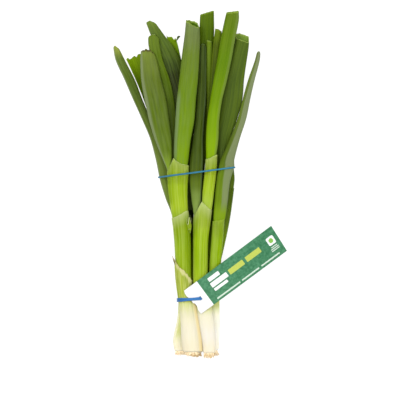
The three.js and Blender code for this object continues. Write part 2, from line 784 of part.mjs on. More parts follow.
// ---- bands -------------------------------------------------------------------------------------
// The convex outline round a set of [x, z] points.
function hull(points) {
  const sorted = [...points].sort((a, b) => a[0] - b[0] || a[1] - b[1]);
  const turn = (o, a, b) => (a[0] - o[0]) * (b[1] - o[1]) - (a[1] - o[1]) * (b[0] - o[0]);
  const half = (list) => {
    const out = [];
    for (const p of list) {
      while (out.length > 1 && turn(out.at(-2), out.at(-1), p) <= 0) out.pop();
      out.push(p);
    }
    return out.slice(0, -1);
  };
  return [...half(sorted), ...half([...sorted].reverse())];
}

// Everything that a band at y holds together, as [x, z] points grown by `grow`.
function heldPoints(band, grow) {
  const pieces = [...Object.values(SHAFTS).flatMap((one) => one.sleeves), ...LEAVES];
  const points = [];
  for (const piece of pieces) {
    const middle = (column(piece.rows, 1, band.at) + column(piece.rows, 2, band.at)) / 2;
    const y = band.at + band.lean * middle;
    if (y < piece.rows[0][0] || y > piece.rows.at(-1)[0]) continue;
    const more = piece === SHAFTS.plant_1.sleeves[0] ? SKIN_THICK + SKIN_GAP : 0;
    for (const edge of [y - band.wide / 2, y + band.wide / 2]) {
      const at = sectionAt(piece, edge, grow + more);
      for (const a of turns(40)) points.push([at(a).x, at(a).z]);
    }
  }
  if (band.name === "band_lower") {
    const edge = tagPoint(TAG.slot.along[0], TAG.slot.across[1], CARD_THICK / 2 + grow);
    TAG.crossing.over.forEach((over, i) => points.push([edge.x + over, edge.z - TAG.crossing.settle[i]]));
  }
  return points;
}

// A band: the held outline, eased round its corners, carries a flat section.
function bandGeometry(band) {
  const outline = hull(heldPoints(band, BAND_GAP + band.thick / 2));
  const path = new THREE.CurvePath();
  outline.forEach((p, i) => {
    const q = outline[(i + 1) % outline.length];
    path.add(new THREE.LineCurve(new THREE.Vector2(...p), new THREE.Vector2(...q)));
  });
  const spots = path.getSpacedPoints(BAND_STEPS).slice(0, BAND_STEPS);
  const points = [];
  spots.forEach((spot, i) => {
    const ahead = spots[(i + 1) % BAND_STEPS].clone().sub(spots.at(i - 1)).normalize();
    const out = new THREE.Vector2(ahead.y, -ahead.x);
    for (const [side, depth] of [[-1, -1], [1, -1], [1, 1], [-1, 1]]) {
      const at = spot.clone().addScaledVector(out, (depth * band.thick) / 2);
      points.push(new THREE.Vector3(at.x, band.at + band.lean * at.x + (side * band.wide) / 2, at.y));
    }
  });
  const faces = [];
  for (let i = 0; i < BAND_STEPS; i++) {
    for (let k = 0; k < 4; k++) {
      const [a, b] = [i * 4 + k, i * 4 + ((k + 1) % 4)];
      const next = (i + 1) % BAND_STEPS;
      const [c, d] = [next * 4 + k, next * 4 + ((k + 1) % 4)];
      faces.push([a, b, c], [b, d, c]);
    }
  }
  return closedGeometry(points, faces);
}
for (const band of BANDS) addNode(band.name, bandGeometry(band), "band", 0.6);

export default group;
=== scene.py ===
# %% [markdown]
# # A bunch of spring onions, dressed around its solids
# The bunch is five plants tied by two elastic bands, with a card tag threaded on the lower one.
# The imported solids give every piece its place. This file makes a finer surface for each of them
# and gives it a finish. Everything is worked out in millimetres, and the meshes are in metres.

import math

import bpy
import numpy as np
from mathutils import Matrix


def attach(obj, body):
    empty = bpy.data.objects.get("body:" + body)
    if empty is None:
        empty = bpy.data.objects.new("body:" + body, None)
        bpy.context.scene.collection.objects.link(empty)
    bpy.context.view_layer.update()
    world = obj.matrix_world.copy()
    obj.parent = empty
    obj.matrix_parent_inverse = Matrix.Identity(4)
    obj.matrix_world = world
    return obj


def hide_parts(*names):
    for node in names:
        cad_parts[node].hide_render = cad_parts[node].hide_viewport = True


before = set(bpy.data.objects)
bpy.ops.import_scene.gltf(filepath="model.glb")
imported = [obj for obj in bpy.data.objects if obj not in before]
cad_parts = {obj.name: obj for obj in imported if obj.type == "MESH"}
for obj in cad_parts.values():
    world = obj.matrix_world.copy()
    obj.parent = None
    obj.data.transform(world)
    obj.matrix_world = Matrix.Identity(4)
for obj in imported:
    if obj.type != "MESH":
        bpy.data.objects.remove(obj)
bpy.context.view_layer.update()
MM = 0.001

# %% [markdown]
# ## The view and the light
# The bunch lies on a table and is looked at from straight above through a long lens, so that
# nothing is stretched by perspective. A camera has no need of a helper for that: unturned, it
# looks down with +Y at the top of the picture. The light is two large soft boxes in a pale room.

# %% Camera
LENS_HEIGHT = 4.0  # metres above the table
VIEW_WIDTH = 0.34  # metres seen across the picture, at the height of the stems
STEM_HEIGHT = 0.015
VIEW_CENTRE_Y = -0.013

scene = bpy.context.scene
eye = bpy.data.cameras.new("camera")
eye.sensor_width = 36
eye.lens = eye.sensor_width * (LENS_HEIGHT - STEM_HEIGHT) / VIEW_WIDTH
camera = bpy.data.objects.new("camera", eye)
camera.location = (0, VIEW_CENTRE_Y, LENS_HEIGHT)
scene.collection.objects.link(camera)
scene.camera = camera
scene.view_settings.view_transform = "Standard"
print("lens", round(eye.lens, 1), "mm")

# %% Soft boxes and the room
ROOM_LIGHT = 0.72


def soft_box(name, place, target, size, watts):
    """A square lamp at `place` that faces `target`: its -Z axis is turned along the line there."""
    lamp = bpy.data.lights.new(name, "AREA")
    lamp.size, lamp.energy = size, watts
    box = bpy.data.objects.new(name, lamp)
    box.location = place
    box.visible_camera = False
    aim = [t - p for t, p in zip(target, place)]
    run = math.hypot(aim[0], aim[1])
    box.rotation_euler = (math.atan2(run, -aim[2]), 0, math.atan2(-aim[0], aim[1]))
    scene.collection.objects.link(box)
    return box


soft_box("key light", (-0.5, 0.3, 1.35), (0, 0, 0), 0.9, 18.0)
soft_box("fill light", (0.6, -0.1, 1.3), (0, 0, 0), 1.1, 12.0)

room = bpy.data.worlds.new("pale room")
room.use_nodes = True
room.node_tree.nodes["Background"].inputs["Color"].default_value = (1, 1, 1, 1)
room.node_tree.nodes["Background"].inputs["Strength"].default_value = ROOM_LIGHT
scene.world = room
print("two soft boxes in a room of strength", ROOM_LIGHT)

# %% [markdown]
# ## Colours
# A display colour is not how much light a surface sends back: the display curve has to be undone
# first, and then the strength of the lamps. `paint` does both, so that the finishes below can be
# written as the colours they should show.

# %% Paint
LIGHT_LEVEL = 1.6  # how bright a white card lies under these lamps


def paint(red, green, blue):
    """Display values as surface colours: undo the display curve, then the lamps.

    A value may pass 255: the render then shows the surface as overexposed."""
    shown = np.array([red, green, blue]) / 255
    straight = np.where(shown <= 0.04045, shown / 12.92, ((shown + 0.055) / 1.055) ** 2.4)
    return (*np.minimum(straight / LIGHT_LEVEL, 0.95).tolist(), 1.0)


print("leaf green as a surface colour", [round(c, 3) for c in paint(106, 130, 53)[:3]])

# %% [markdown]
# ## Building with grids
# Everything here is a surface of two parameters. A stem or leaf is a stack of rings, closed by a
# point at each end. Card, skin and torn leaf are plates: two grids of points with a wall round
# their edge. Both are index arithmetic on whole arrays, so no vertex is ever handled on its own.

# %% Shells and rings


def ring_faces(rings, sides, closed=False):
    """Quads between neighbouring rings: point i of ring r is r * sides + i, and the last wraps.

    In a closed stack, the last ring is also joined to the first."""
    i, base = np.arange(sides), np.arange(rings if closed else rings - 1)[:, None] * sides
    j, ahead = (i + 1) % sides, (base + sides) % (rings * sides)
    return np.stack([base + i, base + j, ahead + j, ahead + i], -1).reshape(-1, 4)


def end_fans(rings, sides):
    """Triangles from the end rings to their poles, which are the two points after the rings."""
    i, j = np.arange(sides), (np.arange(sides) + 1) % sides
    last, pole = (rings - 1) * sides, np.full(sides, rings * sides)
    return np.concatenate([np.stack([j, i, pole], -1), np.stack([last + i, last + j, pole + 1], -1)])


def closed_shell(points, quads, layers, fans=np.zeros((0, 3), int), walls=np.zeros((0, 4), int)):
    """A shell turned the right way out: its volume, summed over its triangles, is positive."""
    fours = np.concatenate([quads, walls])
    triangles = np.concatenate([fours[:, [0, 1, 2]], fours[:, [0, 2, 3]], fans])
    a, b, c = (points[triangles[:, k]] for k in range(3))
    way = -1 if (a * np.cross(b, c)).sum() < 0 else 1
    faces = {"quads": quads, "walls": walls, "fans": fans}
    return {"points": points, "layers": layers} | {kind: f[:, ::way] for kind, f in faces.items()}


def loft(x, y, z, **layers):
    """A closed skin over rings: each array holds one ring a row. The end rings close on their mean.

    `layers` are arrays of the same shape, with an extra axis of 3 for a vector: they ride along."""
    rings, sides = x.shape
    stack = np.stack(np.broadcast_arrays(x, y, z), -1)

    def with_poles(grid):
        grid = np.broadcast_to(grid, stack.shape if np.ndim(grid) == 3 else x.shape)
        poles = [grid[k].reshape(sides, -1).mean(0)[None] for k in (0, -1)]
        return np.concatenate([grid.reshape(rings * sides, -1), *poles])

    layers = {name: with_poles(grid) for name, grid in layers.items()}
    return closed_shell(with_poles(stack), ring_faces(rings, sides), layers, end_fans(rings, sides))


print("a ring stack of 4 x 6 points has", len(ring_faces(4, 6)), "quads")

# %% Plates: two grids and a wall


def plate(over, under, keep=None, **layers):
    """A closed body between two grids of points, with a wall along every edge.

    Edges are found by counting: an edge of a kept cell whose other direction is missing is one.
    Cells where `keep` is False are left out, so that a hole gets its wall in the same way."""
    rows, columns = over.shape[:2]
    count = rows * columns
    index = np.arange(count).reshape(rows, columns)
    cells = np.stack([index[:-1, :-1], index[:-1, 1:], index[1:, 1:], index[1:, :-1]], -1)
    cells = cells[keep] if keep is not None else cells.reshape(-1, 4)
    edges = np.concatenate([cells[:, [k, (k + 1) % 4]] for k in range(4)])
    rim = edges[~np.isin(edges[:, 0] * count + edges[:, 1], edges[:, 1] * count + edges[:, 0])]
    walls = np.stack([rim[:, 1], rim[:, 0], rim[:, 0] + count, rim[:, 1] + count], -1)
    quads = np.concatenate([cells, cells[:, ::-1] + count])
    used, again = np.unique(np.concatenate([quads, walls]), return_inverse=True)
    again = again.reshape(-1, 4)

    def on_both(grid):
        flat = np.broadcast_to(grid, over.shape if np.ndim(grid) == 3 else over.shape[:2])
        return np.concatenate([flat.reshape(count, -1)] * 2)[used]

    points = np.concatenate([over.reshape(-1, 3), under.reshape(-1, 3)])[used]
    layers = {name: on_both(grid) for name, grid in layers.items()}
    return closed_shell(points, again[: len(quads)], layers, walls=again[len(quads) :])


sheet = np.stack(np.broadcast_arrays(np.arange(4.0)[:, None], np.arange(6.0), 0.0), -1)
print("a plate of 4 x 6 points has", len(plate(sheet, sheet - [0, 0, 1])["walls"]), "quads in its wall")

# %% [markdown]
# ## From arrays to a piece
# A piece may be several closed shells, such as the sheaths of one stem. Their arrays are joined,
# written to one mesh, and the mesh gets its layers: `grain` is the place on the piece in its own
# frame, so a pattern follows the growth. The others say where a finish changes: at the `rim` of a
# cut, on what is `inner`, in a `zone` of its own, and over the paler `collar` of a sheath.

# %% A piece from its shells
LAYERS = {"grain": "FLOAT_VECTOR"} | dict.fromkeys(["rim", "inner", "zone", "collar"], "FLOAT")


def make_piece(node, shells, finish):
    """One mesh from closed shells. It rides on the root and stands for the solid of that name."""
    starts = np.cumsum([0] + [len(s["points"]) for s in shells])
    quads, walls, fans = (
        np.concatenate([s[kind] + k for s, k in zip(shells, starts)]) for kind in ("quads", "walls", "fans")
    )
    mesh = bpy.data.meshes.new(node + "_fine")
    points = np.concatenate([s["points"] for s in shells])
    mesh.from_pydata((points * MM).tolist(), [], quads.tolist() + walls.tolist() + fans.tolist())
    smooth = np.ones(len(mesh.polygons), bool)
    smooth[len(quads) : len(quads) + len(walls)] = False
    mesh.polygons.foreach_set("use_smooth", smooth)
    for name, kind in LAYERS.items():
        width = 3 if kind == "FLOAT_VECTOR" else 1
        values = [s["layers"].get(name, np.zeros((len(s["points"]), width))) for s in shells]
        flat = np.concatenate(values).astype(np.float32).ravel()
        mesh.attributes.new(name, kind, "POINT").data.foreach_set("vector" if width == 3 else "value", flat)
    mesh.materials.append(finish)
    mesh.update()
    obj = bpy.data.objects.new(node + "_fine", mesh)
    scene.collection.objects.link(obj)
    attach(obj, "root")
    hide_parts(node)
    print(f"{obj.name}: {2 * (len(quads) + len(walls)) + len(fans)} triangles")


# %% [markdown]
# ## A smooth curve through rows
# Stems and leaves are given by a few rows, each a section across the plant. Between rows the
# numbers follow a cubic curve, which passes through every row without a corner. Straight lines
# would show as kinks in the shine, and one long spline would swing wide between uneven rows.

# %% Rows to curves


def row_curve(rows, k, y):
    """Column k at y. Each row's slope is the rise between its neighbours over their distance, and
    between two rows the value follows the cubic with those values and slopes at its ends."""
    table = np.asarray(rows, float)
    knots, values = table[:, 0], table[:, k]
    order = np.arange(len(knots))
    before, after = np.maximum(order - 1, 0), np.minimum(order + 1, order[-1])
    slopes = (values[after] - values[before]) / (knots[after] - knots[before])
    i = np.clip(np.searchsorted(knots, y, side="right") - 1, 0, order[-1] - 1)
    run = knots[i + 1] - knots[i]
    u = np.clip((y - knots[i]) / run, 0, 1)
    low = (1 + 2 * u) * (1 - u) ** 2 * values[i] + u * (1 - u) ** 2 * run * slopes[i]
    return low + u**2 * (3 - 2 * u) * values[i + 1] + u**2 * (u - 1) * run * slopes[i + 1]


def measures(piece, y):
    """The left x, the right x, the z of the middle and the thickness at y."""
    return [row_curve(piece["rows"], k, y) for k in (1, 2, 3, 4)]


def section(piece, y, angle, grow=0.0, scale=1.0):
    """A flattened oval at y, with folds along its upper face.

    x is the middle plus half the width times cos(angle). z is the middle plus half the thickness
    times sin(angle)^0.8, plus each fold: its height times exp(-(distance across / its width)^1.4).
    The power lifts the shoulders, which grow flatter and steeper than a plain oval's."""
    left, right, middle, thick = measures(piece, y)
    half = np.maximum((right - left) / 2 + grow, 0.2)
    rise = np.maximum(thick / 2 + grow, 0.2)
    across, up = np.cos(angle), np.sin(angle)
    fold = 0.0
    for place, height, width in piece.get("folds", ()):
        fold = fold + height * thick * np.exp(-(np.abs((across - place) / width) ** 1.4))
    x = (left + right) / 2 + scale * half * across
    z = middle + scale * (rise * np.sign(up) * np.abs(up) ** 0.8 + fold * np.maximum(up, 0))
    return x, z, (left + right) / 2, middle


def ripple(angle, y, seed, size, waves=6):
    """Soft unevenness round a stem: a sum of sines of (whole turns x angle + pace x y + phase)."""
    draw = np.random.default_rng(seed)
    total = 0.0
    for k in range(waves):
        turns, pace, phase = draw.integers(0, 4), draw.uniform(0.02, 0.16), draw.uniform(0, 2 * np.pi)
        total = total + np.sin(turns * angle + draw.choice([-1, 1]) * pace * y + phase) / (1 + 0.4 * k)
    return size * total / waves


def smooth_step(low, high, value):
    """0 below `low`, 1 above `high`, and 3t^2 - 2t^3 between."""
    t = np.clip((value - low) / (high - low), 0, 1)
    return t * t * (3 - 2 * t)


def between(low, high, fade, value):
    """1 between `low` and `high`, and 0 outside, with soft ends inside that are `fade` long."""
    return smooth_step(low, low + fade, value) * smooth_step(high, high - fade, value)


def round_angles(sides):
    """Angles round a section, from the underside, so that the seam lies on the table."""
    return np.linspace(-np.pi / 2, 1.5 * np.pi, sides, endpoint=False)[None]


demo = {"rows": [[0, -5, 5, 6, 8], [20, -4, 6, 6, 7], [50, -3, 7, 5, 6]]}
ends = section(demo, 35.0, np.array([np.pi, 0]))[0]
print("a section at 35 mm spans x", [round(float(v), 2) for v in ends])

# %% [markdown]
# ## The finishes
# Onion skin has four things to show: a colour that changes along the plant, fine lengthwise
# streaks, a dull wax on some faces, and pale or brown edges where it was cut or torn. Each is a
# small node group with named inputs, made once and placed in each finish with its own values.

# %% Placing nodes


def feed(tree, node, feeds):
    """Fills a node's inputs: an output is linked, anything else is set as the input's own value."""
    for key, value in feeds.items():
        if isinstance(value, bpy.types.NodeSocket):
            tree.links.new(value, node.inputs[key])
        else:
            node.inputs[key].default_value = value
    return node


def place(tree, kind, feeds=None, **looks):
    """Adds a node. `looks` are its settings, and `feeds` go to its inputs."""
    node = tree.nodes.new("ShaderNode" + kind)
    for key, value in looks.items():
        setattr(node, key, value)
    return feed(tree, node, feeds or {})


def maths(tree, operation, a, b=0.5, clamp=False):
    """One sum on values or outputs."""
    return place(tree, "Math", {0: a, 1: b}, operation=operation, use_clamp=clamp).outputs[0]


def spread(tree, value, low, high, to_low=0.0, to_high=1.0):
    """Maps low..high onto to_low..to_high, and holds the ends."""
    feeds = {"Value": value, "From Min": low, "From Max": high, "To Min": to_low, "To Max": to_high}
    return place(tree, "MapRange", feeds).outputs[0]


def over_colour(tree, mask, below, above, mode="MIX"):
    """Lays one colour over another by a mask."""
    return place(tree, "Mix", {0: mask, 6: below, 7: above}, data_type="RGBA", blend_type=mode).outputs[2]


def noise(tree, vector, detail, scale=1.0):
    """A cloudy value between 0 and 1."""
    return place(tree, "TexNoise", {"Vector": vector, "Scale": scale, "Detail": detail}).outputs["Fac"]


def effect(name, numbers, output="Mask"):
    """A node group. It takes a place and some named numbers, and gives one value."""
    tree = bpy.data.node_groups.new(name, "ShaderNodeTree")
    add = tree.interface.new_socket
    add("Place", in_out="INPUT", socket_type="NodeSocketVector")
    for label, value in numbers.items():
        add(label, in_out="INPUT", socket_type="NodeSocketFloat").default_value = value
    add(output, in_out="OUTPUT", socket_type="NodeSocketFloat")
    return tree, tree.nodes.new("NodeGroupInput").outputs, tree.nodes.new("NodeGroupOutput")


def use(tree, group, feeds):
    """Places a node group, and gives its one output."""
    return place(tree, "Group", feeds, node_tree=group).outputs[0]


def new_finish(name):
    """A material with nodes: the material, its node tree and its surface shader."""
    finish = bpy.data.materials.new(name)
    finish.use_nodes = True
    return finish, finish.node_tree, finish.node_tree.nodes["Principled BSDF"]


def dress(tree, skin, colour, roughness, gloss, height, strength, distance):
    """Feeds a surface shader. The height becomes a bump, up to `distance` metres high."""
    bump = place(tree, "Bump", {"Height": height, "Strength": strength, "Distance": distance})
    feed(tree, skin, {"Base Color": colour, "Roughness": roughness, "Specular IOR Level": gloss})
    feed(tree, skin, {"Normal": bump.outputs["Normal"]})


def scaled(tree, vector, across, along):
    """A place in millimetres times (across, along, across)."""
    factors = place(tree, "CombineXYZ", {0: across, 1: along, 2: across}).outputs[0]
    return place(tree, "VectorMath", {0: vector, 1: factors}, operation="MULTIPLY").outputs[0]


# %% Streaks that run with the growth
streaks, taken, given = effect("lengthwise streaks", {"Across": 1.0, "Along": 0.02, "Sharpness": 0.5})
cloud = noise(streaks, scaled(streaks, taken["Place"], taken["Across"], taken["Along"]), 3.0)
half_gap = maths(streaks, "SUBTRACT", 0.5, maths(streaks, "MULTIPLY", taken["Sharpness"], 0.45))
edge = maths(streaks, "MULTIPLY", half_gap, 0.7)
low, high = (maths(streaks, way, 0.5, edge) for way in ("SUBTRACT", "ADD"))
feed(streaks, given, {0: spread(streaks, cloud, low, high)})

# %% Raised veins, as a height
veins, taken, given = effect("raised veins", {"Veins a mm": 2.0}, "Height")
fine = noise(veins, scaled(veins, taken["Place"], taken["Veins a mm"], 0.05), 2.0)
broad = noise(veins, scaled(veins, taken["Place"], 0.45, 0.06), 1.0)
crest = maths(veins, "ABSOLUTE", maths(veins, "SUBTRACT", fine, 0.5))
feed(veins, given, {0: maths(veins, "ADD", maths(veins, "MULTIPLY", crest, 1.6), broad)})

# %% The broken outline of a cut or dried edge
brink, taken, given = effect("broken edge", {"Rim": 0.0, "Breakup": 0.5})
crumbs = maths(brink, "SUBTRACT", noise(brink, scaled(brink, taken["Place"], 1.3, 0.7), 3.0), 0.5)
shake = maths(brink, "MULTIPLY", crumbs, maths(brink, "MULTIPLY", taken["Breakup"], 2.0))
feed(brink, given, {0: spread(brink, maths(brink, "ADD", taken["Rim"], shake), 0.4, 0.85)})

# %% Wax, patchy and rubbed
wax, taken, given = effect("patchy wax", {"Amount": 0.4})
patches = spread(wax, noise(wax, scaled(wax, taken["Place"], 0.5, 0.06), 4.0), 0.3, 0.7)
feed(wax, given, {0: maths(wax, "MULTIPLY", patches, taken["Amount"], clamp=True)})
print("effects:", [g.name for g in bpy.data.node_groups])

# %% [markdown]
# ## One finish for all that grows
# The colour along the plant is a ramp on the distance from the root, in a few listed tones.
# Dark streaks and pale ones run along it, wax greys it, a zone of its own takes another tone, a
# collar is paler, the inside has its own tone, and the rim takes the colour of the cut. On plants 1
# and 2 the sheath's zone is painted shade down one side, and every sheath's near-black inside is
# painted shade; on a leaf the zone is wax bloom with a painted sheen. The veins are a bump, because
# they are a tenth of a millimetre high. The whites have hardly any streaks, so these fade out
# towards the root.

# %% The finish of stems and leaves
WHITES_END, GREENS_START = -114, -94  # mm along the bunch
DARKER = (0.62, 0.68, 0.5, 1)  # what a dark streak does to a colour
VEIN_HEIGHT = 0.00016  # metres
INSIDE = {"Subsurface Radius": (1.0, 0.9, 0.7), "Subsurface Scale": 0.009}  # light in a white base


def tone_ramp(tree, along, tones):
    """A colour ramp over tones, each (mm along the bunch from its middle, red, green, blue)."""
    low, high = tones[0][0], tones[-1][0]
    ramp = place(tree, "ValToRGB", {"Fac": spread(tree, along, low, high)})
    ramp.color_ramp.interpolation = "EASE"
    stops = ramp.color_ramp.elements
    while len(stops) < len(tones):
        stops.new(0.5)
    for stop, (at, *colour) in zip(stops, tones):
        stop.position = (at - low) / (high - low)
        stop.color = paint(*colour)
    return ramp.outputs["Color"]


def grown(name, tones, streak=(0.5, 0.3), wax_and_zone_tone=(140, 158, 84), wax_amount=0.06, zone_strength=0.0,
          rim_tone=(190, 200, 130), rim_break=0.5, inner_tone=(130, 160, 20), rough=0.42, depth=0.0,
          gloss=0.025, pale=(1.0, (156, 184, 20), 0.1), collar=((206, 218, 136), 0.75)):
    """The finish of a living surface. `streak` is (how many a mm, how dark), `pale` the same for
    the light streaks between them, with their tone, and `collar` a collar's tone and strength."""
    finish, tree, skin = new_finish(name)
    layer = {k: place(tree, "Attribute", attribute_name=k).outputs for k in LAYERS}
    spot = layer["grain"]["Vector"]
    along = place(tree, "SeparateXYZ", {0: spot}).outputs["Y"]

    def times(a, b):
        return maths(tree, "MULTIPLY", a, b)

    def lines(across, lengthwise, sharpness):
        feeds = {"Place": spot, "Across": across, "Along": lengthwise, "Sharpness": sharpness}
        return use(tree, streaks, feeds)

    colour = tone_ramp(tree, along, tones)
    dark = over_colour(tree, 1.0, colour, DARKER, "MULTIPLY")
    broad, fine = lines(streak[0], 0.018, 0.4), lines(streak[0] * 3.4, 0.03, 0.6)
    greener = spread(tree, along, WHITES_END, GREENS_START, 0.15, 1.0)
    both = times(maths(tree, "ADD", times(broad, 0.7), times(fine, 0.3)), greener)
    colour = over_colour(tree, times(both, streak[1]), colour, dark)
    glints = times(lines(pale[0], 0.012, 0.8), times(greener, pale[2]))
    # The zone is mixed in with the wax: painted shade down one side of a sheath on plants 1 and 2, wax bloom
    # with a painted sheen on a leaf, and the straw band on the dry skin.
    zone, dull = times(layer["zone"]["Fac"], zone_strength), use(tree, wax, {"Place": spot, "Amount": wax_amount})
    wax_and_zone_mask = maths(tree, "ADD", dull, zone, clamp=True)
    lip = times(layer["collar"]["Fac"], collar[1])
    worn = use(tree, brink, {"Rim": layer["rim"]["Fac"], "Place": spot, "Breakup": rim_break})
    tops = [(glints, pale[1]), (wax_and_zone_mask, wax_and_zone_tone), (lip, collar[0]), (layer["inner"]["Fac"], inner_tone)]
    for mask, tone in [*tops, (worn, rim_tone)]:
        colour = over_colour(tree, mask, colour, paint(*tone))
    height = use(tree, veins, {"Place": spot, "Veins a mm": 2.2})
    roughness = spread(tree, wax_and_zone_mask, 0.0, 1.0, rough, rough + 0.2)
    dress(tree, skin, colour, roughness, gloss, height, 0.35, VEIN_HEIGHT)
    feed(tree, skin, {"Subsurface Weight": depth} | INSIDE)
    return finish


print("paint of a white base", [round(c, 2) for c in paint(250, 246, 226)[:3]])

# %% [markdown]
# ## The shafts
# A spring onion's stem is a stack of leaf sheaths, each a tube round the next. The outer ones end
# in a slanted collar with a thin pale edge, where their leaf bends away. So every sheath is a loft
# with a lip: the rings climb the outside, turn over at the lip and go a little way down inside.
#
# `lip` is how far the lip reaches, over the place across. `side` is a strip of another tone on one
# side, painted shade on plants 1 and 2 and a yellow-green strip towards plant 1 on plant 4: which
# side, where it starts and is full across, and its two ends along the bunch.

# %% Rows of the shafts: y, left x, right x, z of the middle, thickness
SHAFTS = {}
SHAFTS["plant_1"] = [
    dict(rows=[(-142, -13.5, -0.1, 20, 12), (-132, -15, -0.7, 19.8, 14.4), (-115, -15.8, -3.4, 19.3, 12.4),
         (-98, -17.8, -6, 19.2, 11.6), (-81, -20, -7.2, 19.3, 12), (-64, -21, -7.6, 19.6, 13),
         (-47, -22, -7.7, 20, 13.4), (-26, -24, -9.5, 20.2, 13.2)],
         lip=[(-1, -2.5), (-0.4, -1), (0.2, 1.4), (0.7, 3.6), (0.92, 4), (1, 2.6)],
         side=(1, 0.1, 0.9, -86, -22)),
    dict(rows=[(-45, -21.3, -9.2, 20, 11.6), (-21, -24.7, -10.2, 20.2, 12.2), (-4, -27.2, -10.6, 20.2, 12),
         (12.5, -28, -9.4, 20, 11.4), (14, -28, -9.4, 20, 11.4)],
         lip=[(-1, -3), (-0.75, 1.5), (-0.42, 8.4), (-0.2, 6.2), (0.3, 3.6), (0.8, 2.8), (1, 2)],
         side=(-1, 0.3, 1, -22, 26), collar=0.4),
]
SHAFTS["plant_2"] = [
    dict(rows=[(-142.6, 2.4, 12.8, 20.2, 9.6), (-132, 1, 13.6, 20.5, 11.4), (-115, -1.7, 12.2, 20.4, 11.4),
         (-98, -4, 8.8, 20.2, 11), (-81, -5.9, 6.8, 20.2, 11.6), (-64, -6, 6.6, 19.6, 12),
         (-47, -6, 7.1, 19.4, 12), (-30, -6, 9.4, 19.4, 12.4), (-23, -5.8, 10.4, 19.4, 12.4)],
         lip=[(-1, -5), (-0.5, 2.5), (-0.1, 8.6), (0.25, 5.6), (0.7, 2.4), (1, 1.2)],
         side=(-1, 0.1, 0.9, -50, 8)),
    dict(rows=[(-42, -1.5, 6, 20, 7.4), (-20, 1.2, 10.2, 19.8, 7.8), (-4, 2.2, 12.3, 20.6, 8.8),
         (12.5, 4.1, 14.3, 20.4, 8.8), (21, 4.6, 14.8, 20.2, 8.4)],
         lip=[(-1, 0.6), (-0.3, 1.2), (0.4, 3.2), (1, 4.5)], collar=0.5),
]
SHAFTS["plant_3"] = [
    dict(rows=[(-141, 5.4, 15.8, 6.8, 10.4), (-132, 4.4, 16.6, 6.5, 13.4), (-115, 4.8, 16.8, 9.4, 11),
         (-98, 6.4, 16.6, 13.1, 9.4), (-81, 7.3, 17.4, 16.4, 9.4), (-64, 8.3, 18, 17.8, 9.2),
         (-47, 9.6, 19.6, 18.4, 9.4), (-31, 10.6, 21, 18.6, 9.8)],
         lip=[(-1, 0), (0, 0.5), (1, 1.5)]),
]
SHAFTS["plant_4"] = [
    dict(rows=[(-141.5, -21.8, -11.4, 6.6, 10.6), (-132, -23, -10.2, 6.3, 13.2),
         (-115, -19.5, -8.2, 6.5, 12.2), (-98, -18.2, -7, 7.2, 10.4), (-81, -18.4, -5.6, 6.4, 12.6),
         (-64, -18.9, -5, 6.3, 13), (-47, -19.6, -4.6, 6.3, 13.2), (-24, -23.6, -5.8, 7, 12)],
         lip=[(-1, 0), (0.2, 0.6), (1, 3)], side=(1, -0.85, -0.6, -135, -84)),
]
SHAFTS["plant_5"] = [
    dict(rows=[(-143, -8.2, 1.8, 6.5, 10.4), (-132, -9.4, 2.8, 6.2, 13), (-115, -6.9, 4.3, 6.4, 12),
         (-98, -3.2, 7.8, 7.2, 10.4), (-81, 1.6, 13.2, 6, 12.4), (-64, 5.2, 18, 5.9, 12.4),
         (-47, 6, 22, 5.9, 12.4), (-30, 8, 25.4, 6.2, 12.2), (-13, 11, 28, 6.4, 10.6),
         (-5, 12, 29.2, 6.6, 9.6)],
         lip=[(-1, 0), (0, 0.6), (1, 2)]),
]
print(sum(len(s) for s in SHAFTS.values()), "sheaths on", len(SHAFTS), "plants")

# %% The rings of a tube


def on_the_table(z):
    """Nothing reaches below the table: what would is pressed flat on it."""
    return np.maximum(z, 0.0)


def tube_rings(piece, angle, outside, lift, edge=0.0, wall=0.0, depth=0, steps=0, crest=0.0):
    """A tube's rings in order: x, y, z, their place in its own frame, and 1 on the inside.

    The outside comes as (x, y, z, middle x, middle z), and `lift` gives the outline of the end.
    With a depth, the rings turn over the end and go that far down the inside. It is the same
    section, drawn in by `wall`, and the rim lies half way between the two and `crest` higher."""
    x, y, z, cx, cz = outside
    parts = [(x, y + lift(y), z, cx, cz, 0.0)]
    if depth:
        high = piece["rows"][-1][0]
        top, down = np.full((1, 1), high), np.linspace(high, high - depth, steps)[:, None]
        x2, z2, dx, dz = section(piece, down, angle, -wall)
        x2, z2 = x2 + edge * np.cos(angle), z2 + edge * np.sin(angle)
        rim_x, rim_z = (x[-1:] + x2[:1]) / 2, (z[-1:] + z2[:1]) / 2
        parts.append((rim_x, top + crest + lift(top), rim_z, dx[:1], dz[:1], 0.0))
        parts.append((x2, down + lift(down), z2, dx, dz, 1.0))
    full = [np.broadcast_arrays(*part) for part in parts]
    x, y, z, cx, cz, inner = (np.concatenate([f[k] for f in full]) for k in range(6))
    z = on_the_table(z)
    return x, y, z, np.stack([x - cx, y, z - cz], -1), inner


# %% A sheath
SHEATH_SIDES = 72
SHEATH_STEP = 1.6  # mm between rings, and the radius that rounds the foot
SHEATH_WALL = 0.45  # mm
SHEATH_DENTS = 0.32  # mm
CUP_DEPTH = 13  # mm of the inside that are made
LIP_REACH = 12  # mm over which the lip's outline grows
COLLAR_REACH = 11  # mm below the lip that are paler
COLLAR_RIM = 0.62  # a living collar pales less at its edge than a torn one
STRIP_FADE = 10  # mm over which a strip of another tone ends


